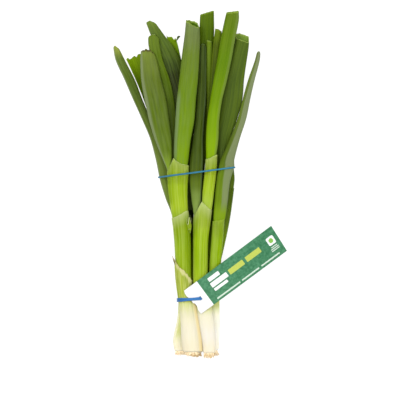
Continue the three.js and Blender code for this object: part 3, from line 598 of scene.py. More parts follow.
def sheath(one, seed):
    """Rings up the outside, over the lip and down the inside, as one closed loft.

    The lip's height is a curve of the place across. It is added to y in full at the lip and fades
    over the last centimetre. Round the foot the oval is drawn in as a quarter circle. The pale
    collar fades as (1 - distance below the lip / its reach)^1.3."""
    low, high = one["rows"][0][0], one["rows"][-1][0]
    angle = round_angles(SHEATH_SIDES)
    across, up = np.cos(angle), np.sin(angle)
    turn = np.linspace(0.12, 1, 6) * np.pi / 2
    foot = low + SHEATH_STEP * (1 - np.cos(turn))
    body = np.linspace(foot[-1], high, int((high - low) / SHEATH_STEP))[1:]
    y = np.concatenate([foot, body])[:, None]
    scale = np.concatenate([0.84 + 0.16 * np.sin(turn), np.ones(len(body))])[:, None]
    dents = ripple(angle, y, seed, SHEATH_DENTS) + 0.05 * np.sin(17 * angle + 0.01 * y)
    x, z, cx, cz = section(one, y, angle, 0.0, scale)
    outside = (x + dents * across, y, z + dents * up, cx, cz)
    rise = np.interp(across, *zip(*one["lip"])) + 0.12 * ripple(angle * 3, 0.0, seed + 50, 2.0)

    def lift(y):
        return smooth_step(high - LIP_REACH, high, y) * rise

    cup = dict(edge=dents[-1:], wall=SHEATH_WALL, depth=CUP_DEPTH, steps=10, crest=0.12)
    x, y, z, grain, inner = tube_rings(one, angle, outside, lift, **cup)
    below_lip = high + rise - y
    # The side strip: painted shade on plants 1 and 2, a yellow-green strip on plant 4.
    way, start, full, low_y, high_y = one.get("side", (1, 2, 3, 0, 0))
    zone = smooth_step(start, full, way * across) * between(low_y, high_y, STRIP_FADE, y)
    rim = COLLAR_RIM * np.clip(1 - below_lip / SHEATH_STEP, 0, 1)
    pale = one.get("collar", 1) * np.clip(1 - below_lip / COLLAR_REACH, 0, 1) ** 1.3
    # Under the side strip, which is painted shade on plants 1 and 2, the collar pales less.
    collar = pale * (1 - inner) * (1 - 0.6 * zone)
    return loft(x, y, z, grain=grain, rim=rim, zone=zone, inner=inner, collar=collar)


trial = sheath(SHAFTS["plant_3"][0], 3)
print("one sheath has", len(trial["points"]), "points")

# %% [markdown]
# ## Threads
# Roots, torn fibres and shreds are thin tapering tubes. A bundle of them is one array of shape
# (thread, ring, side): the centre lines come in as an array too, and the same ring faces serve
# every thread. This keeps hundreds of threads as cheap to write as one.

# %% A bundle of threads


def threads(paths, radii, sides=6, **layers):
    """Tubes round centre lines: a ring is the centre plus the radius times (cos a, 0, sin a)."""
    count, rings = paths.shape[:2]
    a = np.linspace(0, 2 * np.pi, sides, endpoint=False)
    around = np.stack([np.cos(a), np.zeros(sides), np.sin(a)], -1)
    tubes = paths[:, :, None] + radii[:, :, None, None] * around
    tubes[..., 2] = on_the_table(tubes[..., 2])
    points = np.concatenate([tubes.reshape(count, -1, 3), tubes[:, :1].mean(2), tubes[:, -1:].mean(2)], 1)
    starts = (np.arange(count) * (rings * sides + 2))[:, None, None]
    quads, fans = ring_faces(rings, sides) + starts, end_fans(rings, sides) + starts

    def to_points(value):
        grid = np.repeat(np.broadcast_to(value, (count, rings))[:, :, None], sides, 2).reshape(count, -1)
        return np.concatenate([grid, grid[:, :1], grid[:, -1:]], 1).reshape(-1, 1)

    points = points.reshape(-1, 3)
    layers = {"grain": points.copy()} | {name: to_points(value) for name, value in layers.items()}
    return closed_shell(points, quads.reshape(-1, 4), layers, fans.reshape(-1, 3))


pair = threads(np.zeros((2, 3, 3)) + [[0], [1], [2]] * np.array([0, 1, 0]), np.full((2, 3), 0.2))
print("two threads of 3 rings have", len(pair["points"]), "points")

# %% The torn leaf base at the first plant's lower collar
STUB = dict(
    rows=[(-43, -13.4, -8.4, 21, 3), (-38, -13.8, -7.4, 22.1, 4.8), (-34.5, -13.8, -7, 22.6, 5.2),
        (-31, -13.4, -8.1, 23.2, 5), (-27.5, -12.8, -9, 23.7, 4.4)],
    end="cut", jag=0.9, front=[(-1, 0.4), (-0.5, -0.6), (-0.1, -5.4), (0.5, -6), (0.8, -1.6), (1, -0.4)],
    back=[(-1, 0.8), (-0.3, 1.6), (0.4, 1.0), (1, -0.4)])


def torn_fibres(count=26):
    """Pale shreds round the stub's mouth: each starts on its rim, runs forward and curls over."""
    draw = np.random.default_rng(21)
    start = np.stack([draw.uniform(*span, count) for span in ((-12.6, -7.6), (-41, -26), (23.4, 25))], -1)
    reach, t = draw.uniform(1.0, 3.6, count)[:, None], np.linspace(0, 1, 7)
    sway, sag = (draw.uniform(*span, count)[:, None] * t**2 for span in ((-0.9, 1.1), (-0.6, 0.5)))
    paths = start[:, None] + np.stack([sway, reach * t, sag], -1)
    return threads(paths, np.repeat((0.17 - 0.12 * t)[None], count, 0), sides=5, rim=1.0)


# %% [markdown]
# ## The leaves
# A leaf is a hollow, flattened tube with a few soft folds along it. Most were cut with a knife, so
# that the wall shows at the end and one can look inside. Some end in their own rounded tip, and
# two were torn open and lie flat. A cut leaf is a loft like a sheath: up the outside, over the
# rim, down the inside. The cut's outline is a curve of the place across, one for the showing wall
# and one for the wall behind it, because a slanted knife leaves them at different heights.
#
# Beside its rows, a leaf has the kind of its `end`, how far that end is jagged, its folds (place
# across, height, width), its `front` and `back` outlines, and its `tones` along the bunch. `side`
# is a paler strip on one side, of wax bloom and of painted sheen: which side, where it starts
# across and, for some, its two ends.
# `look` gives the rest of its finish, in the order of LEAF_LOOK.

# %% Rows of the leaves: y, left x, right x, z of the middle, thickness
LEAVES = {}
LEAF_LOOK = ("streak", "wax_and_zone_tone", "wax_amount", "zone_strength", "rim_tone", "inner_tone", "rough")
LEAVES["plant_1_leaf_left"] = dict(
    rows=[(4, -26.6, -22.8, 20.6, 3.2), (12.5, -28, -23.6, 21, 4.2), (21, -31.4, -24, 20.6, 5.4),
        (38, -38.2, -24.2, 18.8, 6.8), (55, -43.4, -26.2, 17, 7.4), (72, -46.9, -28.6, 15.4, 7.6),
        (89, -49.9, -33, 14.2, 7.2), (106, -50.8, -36.8, 13.4, 6.4), (113.5, -50.4, -39.4, 13.2, 5.4)],
    end="cut", jag=1.3, side=(-1, 0.62), folds=[(-0.72, 0.09, 0.14), (0.15, 0.05, 0.3)],
    front=[(-1, -0.6), (-0.7, 0.1), (-0.2, 0.4), (0.4, -0.1), (0.8, -0.8), (1, -1.6)],
    back=[(-1, -0.4), (-0.7, 1.0), (-0.1, 1.8), (0.4, 1.0), (0.8, 0.0), (1, -1.6)],
    tones=[(4, 150, 178, 46), (15, 126, 154, 34), (30, 90, 114, 18), (60, 84, 106, 18), (88, 88, 106, 28),
        (102, 104, 120, 44), (113.5, 116, 132, 46)],
    look=((0.5, 0.6), (140, 152, 112), 0.16, 0.6, (104, 104, 52), (60, 72, 14)))
LEAVES["plant_1_leaf_centre"] = dict(
    rows=[(0, -18.6, -12, 22, 4.4), (12.5, -20.8, -11.2, 21.6, 5.6), (21, -21.8, -9.8, 21.6, 7),
        (38, -21.9, -7.8, 20.4, 7.8), (55, -21, -4.8, 19, 8), (72, -19.8, -3.4, 17.8, 8),
        (89, -17.9, -1.7, 16.6, 7.8), (106, -15.8, -0.5, 15, 7.4), (123, -13.7, 0, 13.4, 6.8),
        (136, -12, -0.4, 12, 6)],
    end="cut", jag=0.8, side=(-1, 0.52, 16, 84), folds=[(-0.5, 0.07, 0.16), (0.45, 0.03, 0.2)],
    front=[(-1, 3.6), (-0.8, 2.6), (-0.3, 0.8), (0.1, -0.9), (0.6, -1.8), (1, -2.4)],
    back=[(-1, 4.2), (-0.6, 4.0), (0.2, 2.9), (0.64, 2.2), (0.9, -1.2), (1, -2.2)],
    tones=[(0, 119, 153, 0), (26, 119, 153, 2), (50, 110, 142, 8), (80, 102, 132, 12), (106, 100, 124, 34),
        (126, 108, 122, 66), (136, 112, 128, 74)],
    look=((0.45, 0.36), (120, 140, 92), 0.22, 0.7, (142, 164, 70), (68, 102, 2)))
LEAVES["plant_1_leaf_back"] = dict(
    rows=[(-6, -23.6, -15.4, 17, 3.4), (12.5, -25.4, -15, 15.8, 4), (38, -27.8, -18.2, 12.8, 4),
        (55, -29.6, -20, 11, 4), (72, -32, -22, 10, 4), (89, -36.2, -25.5, 9.4, 4), (106, -41, -31.4, 9, 4),
        (118, -43.6, -34, 8.9, 3.8), (127.5, -44.2, -35, 8.9, 3.6)],
    end="tip", round=3.6, jag=0.1, side=(-1, 0.7), folds=[(0.3, 0.08, 0.25)],
    front=[(-1, 0), (-0.4, 0.9), (0, 0.1), (0.5, 0.9), (1, -1)],
    tones=[(-6, 76, 98, 10), (60, 54, 74, 0), (85, 70, 94, 4), (105, 86, 110, 14), (127.5, 98, 120, 34)],
    look=((0.5, 0.45), (140, 158, 84), 0.14, 0.0, (128, 146, 78)))

# %% Leaves of the second plant
LEAVES["plant_2_leaf_left"] = dict(
    rows=[(-33, -4.6, -1.2, 19.6, 3.4), (-21.5, -6, 0.2, 19.6, 4.8), (-13, -7.2, 0.9, 19.6, 6),
        (4, -8.8, 2, 18.6, 6), (21, -8.4, 2.7, 17, 6), (38, -6.2, 2.6, 15, 5.8), (55, -4.4, 3.7, 13.4, 5.4),
        (72, -3, 5, 12, 5), (89, -1.4, 5.2, 10.8, 4.6), (106, -0.6, 5.3, 9.8, 4.2), (119, 0, 5.1, 9.4, 3.8)],
    end="cut", jag=0.2, side=(1, 0.6), folds=[(0.35, 0.06, 0.3)],
    front=[(-1, -2), (-0.6, 0.2), (0, 0.8), (0.6, 0.2), (1, -2)],
    back=[(-1, -1.8), (-0.6, 0.6), (0, 1.1), (0.6, 0.5), (1, -1.8)],
    tones=[(-33, 150, 176, 80), (-27, 146, 170, 74), (-20, 136, 158, 78), (-10, 120, 142, 66),
        (0, 90, 110, 26), (8, 74, 92, 16), (21, 60, 78, 10), (60, 50, 66, 4), (119, 52, 68, 20)],
    look=((0.5, 0.5), (98, 118, 76), 0.18, 0.4, (96, 116, 60), (70, 90, 40)))
LEAVES["plant_2_leaf_centre"] = dict(
    rows=[(5, 5.6, 11.8, 20.4, 4.2), (25, 5.2, 13.8, 20.2, 5.6), (38, 5.1, 15.6, 19.8, 6.2),
        (55, 6, 16.5, 19.2, 6.4), (72, 8.5, 18.7, 18, 6.6), (89, 11.5, 23, 16.8, 6.6),
        (106, 14.5, 26.8, 15.4, 6.4), (123, 17.2, 29.8, 13.8, 6.2), (140, 20.8, 33.1, 11.6, 5.8),
        (146.6, 22.4, 33, 10.8, 5.6)],
    end="cut", jag=0.25, side=(1, 0.5), folds=[(0.6, 0.06, 0.16)], front=[(-1, -0.9), (0, -0.3), (1, 0.5)],
    back=[(-1, 0.2), (0, 0.8), (1, 1.4)],
    tones=[(5, 136, 170, 0), (28, 130, 168, 0), (55, 118, 156, 0), (76, 104, 140, 0), (106, 90, 126, 2),
        (122, 92, 122, 12), (146.6, 90, 116, 20)],
    look=((0.45, 0.34), (130, 150, 74), 0.08, 0.45, (146, 172, 66), (104, 140, 20)))
LEAVES["plant_2_leaf_right"] = dict(
    rows=[(-30, 2.4, 7.6, 15.4, 3), (-12, 3.8, 13.2, 13.8, 3.2), (12.5, 4.6, 13.5, 12.8, 3.6),
        (38, 5, 13.4, 12.8, 3.8), (55, 6, 14, 12.8, 3.8), (89, 8.5, 16, 11, 3.8),
        (114, 10.4, 17.8, 9.6, 3.6), (131, 13, 18.5, 9, 3.4)],
    end="cut", jag=0.3, front=[(-1, 1.2), (0, 0.9), (1, -1)], back=[(-1, 1.8), (0, 1.4), (1, -0.5)],
    tones=[(-30, 54, 74, 10), (60, 60, 78, 8), (118, 72, 88, 8), (127, 96, 118, 16), (131, 100, 122, 18)],
    look=((0.6, 0.5), (140, 158, 84), 0.06, 0.0, (130, 150, 60)))
LEAVES["plant_2_leaf_back"] = dict(
    rows=[(-30, -3.4, 1.6, 15.4, 3), (-12, -4.6, 2.6, 13, 3.4), (12.5, -5.2, 4, 11.2, 3.8),
        (38, -5.1, 5.6, 8.8, 3.6), (55, -5.7, 6.8, 7, 3.4), (72, -4.8, 8.8, 4.6, 3.6),
        (89, -3.4, 10.2, 3, 3.6), (123, -0.8, 12, 2.8, 3.6), (146.6, 0, 11.8, 2.8, 3.4)],
    end="cut", jag=0.3, folds=[(-0.1, 0.06, 0.2)], front=[(-1, -2.2), (-0.3, -0.8), (1, 1.4)],
    back=[(-1, -1.6), (-0.3, -0.2), (1, 1.9)],
    tones=[(-30, 54, 74, 2), (70, 52, 70, 0), (105, 62, 86, 0), (125, 74, 100, 0), (146.6, 82, 108, 2)],
    look=((0.5, 0.6), (140, 158, 84), 0.06, 0.0, (128, 152, 50), (96, 124, 20)))

# %% Leaves of the third plant
LEAVES["plant_3_leaf_right"] = dict(
    rows=[(-40, 12.4, 18.4, 19.2, 3.6), (-28, 11.3, 21.4, 19.6, 5.2), (-13, 12.4, 23.6, 19.8, 6),
        (4, 14.2, 25.9, 19.8, 6.2), (15, 15.9, 29, 19.6, 6.2), (21, 17.4, 29, 19, 6),
        (38, 25, 33.6, 16.8, 5.4), (55, 31.4, 39, 13.8, 5), (72, 35.9, 42.5, 10.2, 4.6),
        (89, 41, 46.5, 5.2, 4.2), (106, 46.8, 50.8, 2.6, 3.4), (113.9, 48.7, 51.6, 1.9, 3)],
    end="tip", round=3, jag=0.1, side=(1, (0.0, -0.36), -26, 130), folds=[(-0.1, 0.1, 0.26)],
    tones=[(-40, 138, 170, 8), (-26, 126, 158, 14), (-12, 106, 134, 6), (6, 98, 126, 6), (20, 82, 104, 18),
        (40, 92, 112, 34), (62, 102, 122, 44), (90, 106, 124, 54), (113.5, 110, 124, 68)],
    look=((0.5, 0.4), (134, 144, 108), 0.06, 0.66, (140, 150, 96)))
LEAVES["plant_3_leaf_left"] = dict(
    rows=[(-38, 13.6, 17.8, 15.6, 2.8), (-13, 13.6, 20.4, 14, 3.4), (12.5, 14.6, 22.2, 14, 3.8),
        (38, 14.2, 25.4, 12.4, 4), (55, 15.2, 31.5, 10.6, 4.4), (72, 17.2, 35.9, 9, 4.6),
        (89, 20.2, 37.4, 8.4, 5.2), (106, 24.6, 40, 7.4, 5.6), (118.5, 29, 41.6, 6.8, 5.6),
        (125, 30.6, 41.6, 6.6, 5.4)],
    end="cut", jag=0.3, side=(1, 0.82), folds=[(0.25, 0.05, 0.25)],
    front=[(-1, -0.3), (-0.2, -1.8), (0.8, -3.7), (1, -3.6)],
    back=[(-1, 3.6), (-0.5, 4), (0.4, 2.6), (1, 1.2)],
    tones=[(-38, 72, 92, 12), (20, 56, 74, 14), (50, 70, 90, 22), (90, 72, 92, 28), (125, 78, 100, 28)],
    look=((0.5, 0.5), (98, 118, 60), 0.16, 0.0, (150, 172, 80), (112, 142, 50)))

# %% Leaves of the fourth plant
LEAVES["plant_4_leaf_left"] = dict(
    rows=[(-33, -22, -18, 8.6, 3.2), (-21, -25.6, -19, 9, 4.4), (-13, -28.8, -20.4, 9.6, 5.2),
        (4, -34, -24.6, 9.8, 6), (21, -37.4, -28.4, 9.2, 6.4), (38, -42, -33.6, 8, 6.2),
        (55, -49.2, -41.6, 6, 6), (72, -56.7, -48.9, 4.2, 5.6), (89, -64.1, -55.3, 3, 4.8),
        (106, -71.8, -63.8, 2.1, 3.8), (118.2, -74, -69.5, 1.8, 3.1)],
    end="tip", round=2.2, jag=0.4, side=(-1, 0.7), folds=[(-0.2, 0.08, 0.3)],
    front=[(-1, 0.5), (0, 0), (1, -1.0)],
    tones=[(-33, 130, 160, 50), (-10, 112, 132, 46), (20, 104, 122, 45), (50, 88, 108, 32), (80, 75, 97, 21),
        (106, 86, 106, 32), (117, 148, 158, 66)],
    look=((0.55, 0.45), (142, 156, 112), 0.16, 0.5, (170, 176, 84)))
LEAVES["plant_4_leaf_opened"] = dict(
    rows=[(-31, -19.8, -16.2, 5, 1.4), (12.5, -27.4, -19.6, 4.4, 1.4), (38, -35.6, -25.4, 3.4, 1.4),
        (55, -41.8, -30.6, 2.8, 1.4), (76, -49.2, -35.4, 2.4, 1.4), (97.5, -58.2, -43, 2.2, 1.4),
        (110.6, -63, -47, 2.2, 1.4)],
    end="strip", arch=0.26, slant=2.2, teeth=12, jag=2.4,
    tones=[(-31, 84, 114, 6), (60, 70, 96, 0), (84, 80, 108, 0), (109, 118, 148, 0)],
    look=((0.5, 0.5), (140, 158, 84), 0.04, 0.0, (126, 150, 20), (80, 112, 0), 0.5))
LEAVES["plant_4_leaf_right"] = dict(
    rows=[(-31, -14.6, -6.6, 9, 3.2), (-12, -16, -5.6, 9, 4.2), (12.5, -15.4, -5.9, 8.4, 4.8),
        (38, -15.4, -5.6, 7.8, 5), (55, -20, -6.6, 7.4, 4.4), (80, -25, -10, 6.8, 4),
        (97.5, -30.4, -14, 6.2, 3.8), (106, -33.4, -16.6, 5.8, 3.6), (118, -38, -23.2, 5.1, 3.4),
        (128, -42.2, -30.8, 3.9, 3.4), (140, -46.6, -39, 2.8, 3.2)],
    end="tip", round=2.6, jag=0.1, side=(-1, 0.7), folds=[(0.2, 0.07, 0.3)],
    front=[(-1, -0.7), (0, 0.2), (1, -0.8)],
    # Near black at its foot and from 82 to 92 mm: painted shade where it lies under other leaves and stems.
    tones=[(-31, 20, 24, 8), (-16, 40, 50, 10), (20, 56, 72, 8), (70, 50, 64, 14), (82, 24, 28, 6),
        (92, 26, 32, 6), (101, 44, 60, 12), (112, 68, 88, 20), (124, 82, 104, 34), (132, 90, 110, 38),
        (140, 112, 134, 46)],
    look=((0.5, 0.45), (124, 142, 96), 0.14, 0.2, (120, 138, 84)))

# %% Leaves of the fifth plant
LEAVES["plant_5_leaf_right"] = dict(
    rows=[(-14, 22.4, 26.8, 7.4, 4), (4, 20.6, 29.4, 6.8, 6), (12.5, 19.8, 29, 6.6, 6.4),
        (38, 19.4, 28.2, 5.8, 6), (55, 20.6, 29.4, 4.8, 5.4), (89, 26.4, 36, 2.9, 4.4),
        (103, 29, 38, 2.3, 3.8)],
    end="cut", jag=0.3, folds=[(0.1, 0.06, 0.3)], front=[(-1, -1.3), (1, 0.7)], back=[(-1, -0.7), (1, 1.3)],
    tones=[(-14, 86, 110, 22), (5, 78, 102, 16), (40, 64, 84, 14), (103, 72, 92, 24)],
    look=((0.5, 0.45), (140, 158, 84), 0.12, 0.0, (128, 150, 60)))
LEAVES["plant_5_leaf_slender"] = dict(
    rows=[(-14, 18.6, 21.6, 8.6, 2.8), (12.5, 13.4, 17.8, 8, 3.2), (38, 8.6, 13.4, 8.2, 3.2),
        (55, 6.2, 11, 8.8, 3.2), (89, 5.2, 10, 7.4, 3.2), (118, 5.2, 10.2, 6.8, 3.2),
        (122.5, 5.8, 9.6, 6.8, 3)],
    end="cut", jag=0.2, front=[(-1, 0.2), (1, -0.7)], back=[(-1, 0.7), (1, -0.2)],
    tones=[(-14, 100, 130, 26), (60, 84, 104, 12), (122.5, 98, 124, 20)],
    look=((0.6, 0.4), (140, 158, 84), 0.1, 0.0, (140, 164, 70)))
LEAVES["plant_5_leaf_opened"] = dict(
    rows=[(-14, 19.2, 22.4, 5.6, 1.4), (12.5, 7, 14.8, 4.6, 1.4), (38, -4, 6, 3.8, 1.4),
        (55, -10, 0.4, 3.4, 1.4), (72, -15.4, -5.6, 2.8, 1.4), (89, -20.6, -10.6, 2.4, 1.4),
        (106, -26, -15.8, 2.2, 1.4), (126.4, -28.6, -20.2, 2.2, 1.4)],
    end="strip", arch=0.22, slant=-1.8, teeth=9, jag=2.0,
    tones=[(-14, 100, 130, 20), (70, 70, 94, 8), (105, 94, 126, 6), (124, 110, 142, 6)],
    look=((0.5, 0.5), (44, 52, 26), 0.0, 0.9, (146, 168, 46), (108, 140, 6), 0.5))
print(len(LEAVES), "leaves")

# %% A leaf that is cut across or has its own tip
LEAF_SIDES = 60
LEAF_STEP = 1.5  # mm between rings
LEAF_WALL = 0.5  # mm
LEAF_DENTS = 0.42  # mm
TIP_RINGS = 12
CUT_REACH = 12  # mm over which the slant of the cut grows
CUT_RIM = 1.3  # mm of the end that take the colour of the cut
MOUTH_DEPTH = 42  # mm of the inside that are made
# A leaf's side strip is wax bloom with a painted sheen.
WAX_AND_SHEEN_FADE = 14  # mm over which a waxed strip ends
WAX_AND_SHEEN_SHIFT = (-14, 24)  # mm along the bunch, where a strip with two starts moves over


def cut_line(leaf, across, up, seed):
    """How far the end reaches: the back wall's curve, blended to the front's by sin(angle), and
    a fine jag of sines with random phases."""
    phases = np.random.default_rng(seed + 500).uniform(0, 6, 4)
    front = leaf.get("front", [(-1, 0), (1, 0)])
    ahead, behind = (np.interp(across, *zip(*edge)) for edge in (front, leaf.get("back", front)))
    share = smooth_step(-0.35, 0.35, up)
    waves = sum(np.sin(n * across * 3 + p) / (1 + k) for k, (n, p) in enumerate(zip((3, 5, 8, 13), phases)))
    return (1 - share) * behind + share * ahead + 0.3 * leaf["jag"] * waves


def tube_leaf(leaf, seed):
    """The rings of a leaf: the outside, and for a cut leaf the rim and the inside too.

    A leaf with its own tip has its last rings scaled by cos(t)^0.7, t turning over the tip."""
    low, high = leaf["rows"][0][0], leaf["rows"][-1][0]
    angle = round_angles(LEAF_SIDES)
    across, up = np.cos(angle), np.sin(angle)
    line = cut_line(leaf, across, up, seed)
    y = np.linspace(low, high, int((high - low) / LEAF_STEP))
    scale = np.ones_like(y)
    if leaf["end"] == "tip":
        turn = np.linspace(0, 0.96, TIP_RINGS) * np.pi / 2
        y = np.concatenate([y[y < high - leaf["round"] - 0.5], high - leaf["round"] * (1 - np.sin(turn))])
        scale = np.concatenate([np.ones(len(y) - TIP_RINGS), np.cos(turn) ** 0.7])
    y, scale = y[:, None], scale[:, None]
    dents = ripple(angle, y, seed, LEAF_DENTS) + 0.035 * np.sin(15 * angle + 0.015 * y + seed)
    x, z, cx, cz = section(leaf, y, angle, 0.0, scale)
    outside = (x + dents * across * scale, y, z + dents * up * scale, cx, cz)

    def lift(y):
        return np.clip((y - high + CUT_REACH) / CUT_REACH, 0, 1) ** 2 * line

    mouth = dict(edge=dents[-1:], wall=LEAF_WALL, depth=MOUTH_DEPTH, steps=22, crest=0.1)
    mouth = mouth if leaf["end"] == "cut" else {}
    x, y, z, grain, inner = tube_rings(leaf, angle, outside, lift, **mouth)
    rim = np.clip(1 - (high + line - y) / CUT_RIM, 0, 1)
    # The side strip, on the upper face only: wax bloom, painted paler as a sheen.
    side, start, *span = leaf.get("side", (1, 2))
    start = start if np.isscalar(start) else np.interp(y, WAX_AND_SHEEN_SHIFT, start)
    zone = smooth_step(start, start + 0.2, side * across) * smooth_step(-0.3, 0.2, up)
    zone = zone * between(*(span or (-1e3, 1e3)), WAX_AND_SHEEN_FADE, y)
    return loft(x, y, z, grain=grain, rim=rim, inner=inner, zone=zone)


trial = tube_leaf(LEAVES["plant_2_leaf_centre"], 4)
print("one cut leaf has", len(trial["points"]), "points")

# %% A leaf that was torn open
STRIP_COLUMNS = 40
STRIP_THICK = 0.8  # mm in its middle; the edges are thinner
TORN_RIM = 0.9  # mm of the end that take the colour of the tear


def open_leaf(leaf, seed):
    """A trough: z is the middle plus arch x half width x (place across^2 - 0.4), with a ragged end.

    Each tooth of the end is one of a few random heights, joined by straight lines."""
    low, high = leaf["rows"][0][0], leaf["rows"][-1][0]
    across = np.linspace(-1, 1, STRIP_COLUMNS)[None]
    t = np.linspace(0, 1, int((high - low) / LEAF_STEP))[:, None]
    y = low + (high - low) * t
    left, right, middle, _ = measures(leaf, y)
    half = (right - left) / 2
    heights = np.random.default_rng(seed + 900).uniform(-1, 0.25, leaf["teeth"]) * leaf["jag"]
    teeth = np.interp(across, np.linspace(-1, 1, leaf["teeth"]), heights)
    end = high + leaf["slant"] * across + teeth
    y = y + t**12 * (end - high)
    x = (left + right) / 2 + half * across + 0.25 * np.sin(0.11 * y + seed)
    z = middle + leaf["arch"] * half * (across**2 - 0.4) + 0.16 * np.sin(0.09 * y + 4 * across + seed)
    taper = STRIP_THICK * (1 - 0.45 * across**4) / 2 * np.ones_like(x)
    z = np.maximum(z, taper)
    over, under = np.stack([x, y, z + taper], -1), np.stack([x, y, z - taper], -1)
    grain = np.stack([x - (left + right) / 2, y, z - middle], -1)
    rim = np.clip(1 - (end - y) / TORN_RIM, 0, 1)
    return plate(over, under, grain=grain, rim=rim)


trial = open_leaf(LEAVES["plant_4_leaf_opened"], 10)
print("one torn leaf has", len(trial["points"]), "points")

# %% A dried shred on the end of one torn leaf
SHRED = [(-21.6, 121.6, 2.6), (-20.4, 122.8, 3.4), (-19.2, 124.2, 4), (-18.4, 125.8, 4.3), (-17.7, 127, 4)]


def shred():
    """A few strands along one bent line, swelling to a dark, twisted end."""
    t = np.linspace(0, 1, 14)
    line = np.stack([np.interp(t, np.linspace(0, 1, len(SHRED)), axis) for axis in zip(*SHRED)], -1)
    phase = np.arange(4)[:, None] * np.pi / 2 + 4 * t[None]
    swell = 0.15 + 0.75 * t**2
    offset = np.stack([np.cos(phase) * swell, 0 * phase, np.sin(phase) * swell * 0.6], -1)
    radii = np.broadcast_to(0.36 + 0.4 * t**1.5 - 0.45 * t**8, (4, len(t)))
    return threads(line[None] + offset, radii, sides=8, zone=t[None] ** 0.8)


# %% Tones of the shafts, from the root end up
WHITE_END = [(-146, 258, 236, 190), (-142, 252, 240, 212), (-128, 246, 239, 225), (-112, 244, 238, 213)]
SHAFT_TONES = {
    "plant_1": WHITE_END + [(-104, 228, 230, 156), (-92, 188, 202, 78), (-76, 146, 176, 2),
        (-60, 142, 172, 0), (-46, 134, 166, 0), (-36, 146, 176, 8), (-26, 150, 178, 36),
        (-18, 166, 192, 30), (-5, 156, 184, 16), (6, 148, 176, 14), (14, 146, 172, 24), (24, 148, 174, 36)],
    "plant_2": WHITE_END + [(-103, 230, 232, 160), (-88, 172, 198, 40), (-64, 152, 184, 14),
        (-46, 156, 188, 14), (-32, 164, 190, 44), (-22, 162, 188, 50), (-17, 168, 196, 58),
        (-4, 160, 190, 22), (8, 154, 180, 14), (19, 146, 172, 14), (27, 150, 176, 30)],
    # Plant 3's whites are lighter than the shared ones: painted light against the shade that plant 2 casts
    # on them.
    "plant_3": [(-146, 266, 248, 210), (-142, 272, 264, 242), (-128, 276, 272, 258), (-112, 272, 268, 246),
        (-100, 222, 230, 142), (-80, 146, 178, 0), (-62, 142, 176, 0), (-46, 138, 172, 0),
        (-30, 132, 164, 0)],
    # Plant 4 turns near black from about -64 mm up: painted shade where it lies under the other plants.
    "plant_4": [(-146, 262, 240, 196), (-142, 260, 250, 216), (-128, 252, 248, 214), (-112, 246, 244, 200),
        (-102, 206, 216, 110), (-84, 150, 178, 30), (-64, 120, 148, 20), (-46, 60, 76, 8), (-34, 24, 30, 8),
        (-20, 20, 26, 8)],
    "plant_5": WHITE_END + [(-98, 206, 216, 110), (-72, 144, 172, 26), (-46, 116, 144, 20),
        (-28, 88, 112, 14), (-5, 78, 102, 12)],
}

# On a sheath the dark green zone tone paints shade down one side (plants 1 and 2), and the near-black inside
# tone is painted shade in the hollow, in the stub's mouth too.
SHEATH_LOOK = dict(rim_tone=(212, 222, 146), inner_tone=(54, 66, 6), wax_and_zone_tone=(118, 148, 0), wax_amount=0.0,
    zone_strength=0.7, rough=0.36, depth=0.45, pale=(0.8, (204, 221, 108), 0.26))
COLLARS = {
    "plant_3": dict(rim_tone=(156, 182, 60), collar=((150, 176, 60), 0.4)),
    # Plant 4's collar lies under the others: its near-black rim is painted shade and its collar is not
    # paler. Its zone is a yellow-green strip towards plant 1.
    "plant_4": dict(rim_tone=(24, 28, 8), wax_and_zone_tone=(204, 212, 96), zone_strength=0.6, collar=((24, 28, 8), 0),
        pale=(0.8, (204, 220, 116), 0)),
    "plant_5": dict(rim_tone=(92, 116, 30), collar=((96, 120, 30), 0.4), pale=(0.8, (140, 166, 60), 0.12)),
}
for number, (plant, sheaths) in enumerate(SHAFTS.items()):
    look = SHEATH_LOOK | COLLARS.get(plant, {})
    finish = grown(f"{plant} sheath", SHAFT_TONES[plant], streak=(0.55, 0.34), rim_break=0.3, **look)
    shells = [sheath(one, 10 * number + k) for k, one in enumerate(sheaths)]
    if plant == "plant_1":
        shells += [tube_leaf(STUB, 77), torn_fibres()]
    make_piece(f"{plant}_shaft", shells, finish)

# %% The leaves as pieces
for number, (name, leaf) in enumerate(LEAVES.items()):
    finish = grown(f"{name} skin", leaf["tones"], **dict(zip(LEAF_LOOK, leaf["look"])))
    shells = [open_leaf(leaf, number) if leaf["end"] == "strip" else tube_leaf(leaf, number)]
    if name == "plant_5_leaf_opened":
        shells.append(shred())
    make_piece(name, shells, finish)

# %% [markdown]
# ## The roots
# Each plant ends in a flat root plate with short trimmed roots. A modelled tuft needs the plate as
# a small disc and about sixty threads. They start in a sunflower pattern, which spreads points
# evenly over a disc with no rows, and lean outwards more the nearer they are to its rim.

# %% Root finish
# Towards the stem the tone goes past white: the roots' pale tan, lightened there as painted light against
# the shade at the stem's foot.
ROOT_TONES = [(-150, 256, 214, 152), (-146, 266, 236, 182), (-142, 304, 286, 250)]
root_finish = grown("trimmed roots", ROOT_TONES, streak=(1.4, 0.4), wax_and_zone_tone=(240, 200, 134),
                    wax_amount=0.24, rim_tone=(236, 190, 120), rough=0.75)


# %% Root tufts
GOLDEN_ANGLE = 2.39996
PLATE_SHARE = 0.46  # half a root plate's size over the stem's


def root_plate(x, y, z, wide, high):
    """A low dome: rings of a disc that narrow as it comes forward."""
    turn = np.array([0.0, 0.35, 0.7, 0.95])[:, None] * np.pi / 2
    angle = round_angles(36)
    lumps = 1 + 0.06 * np.sin(7 * angle + 2) + 0.04 * np.sin(11 * angle)
    rx, rz = wide * np.cos(turn) * lumps, high * np.cos(turn) * lumps
    px, pz = x + rx * np.cos(angle), on_the_table(z + rz * np.sin(angle))
    py = y + 0.9 - 2.0 * np.sin(turn) * np.ones_like(px)
    return loft(px, py, pz, grain=np.stack([px, py, pz], -1))


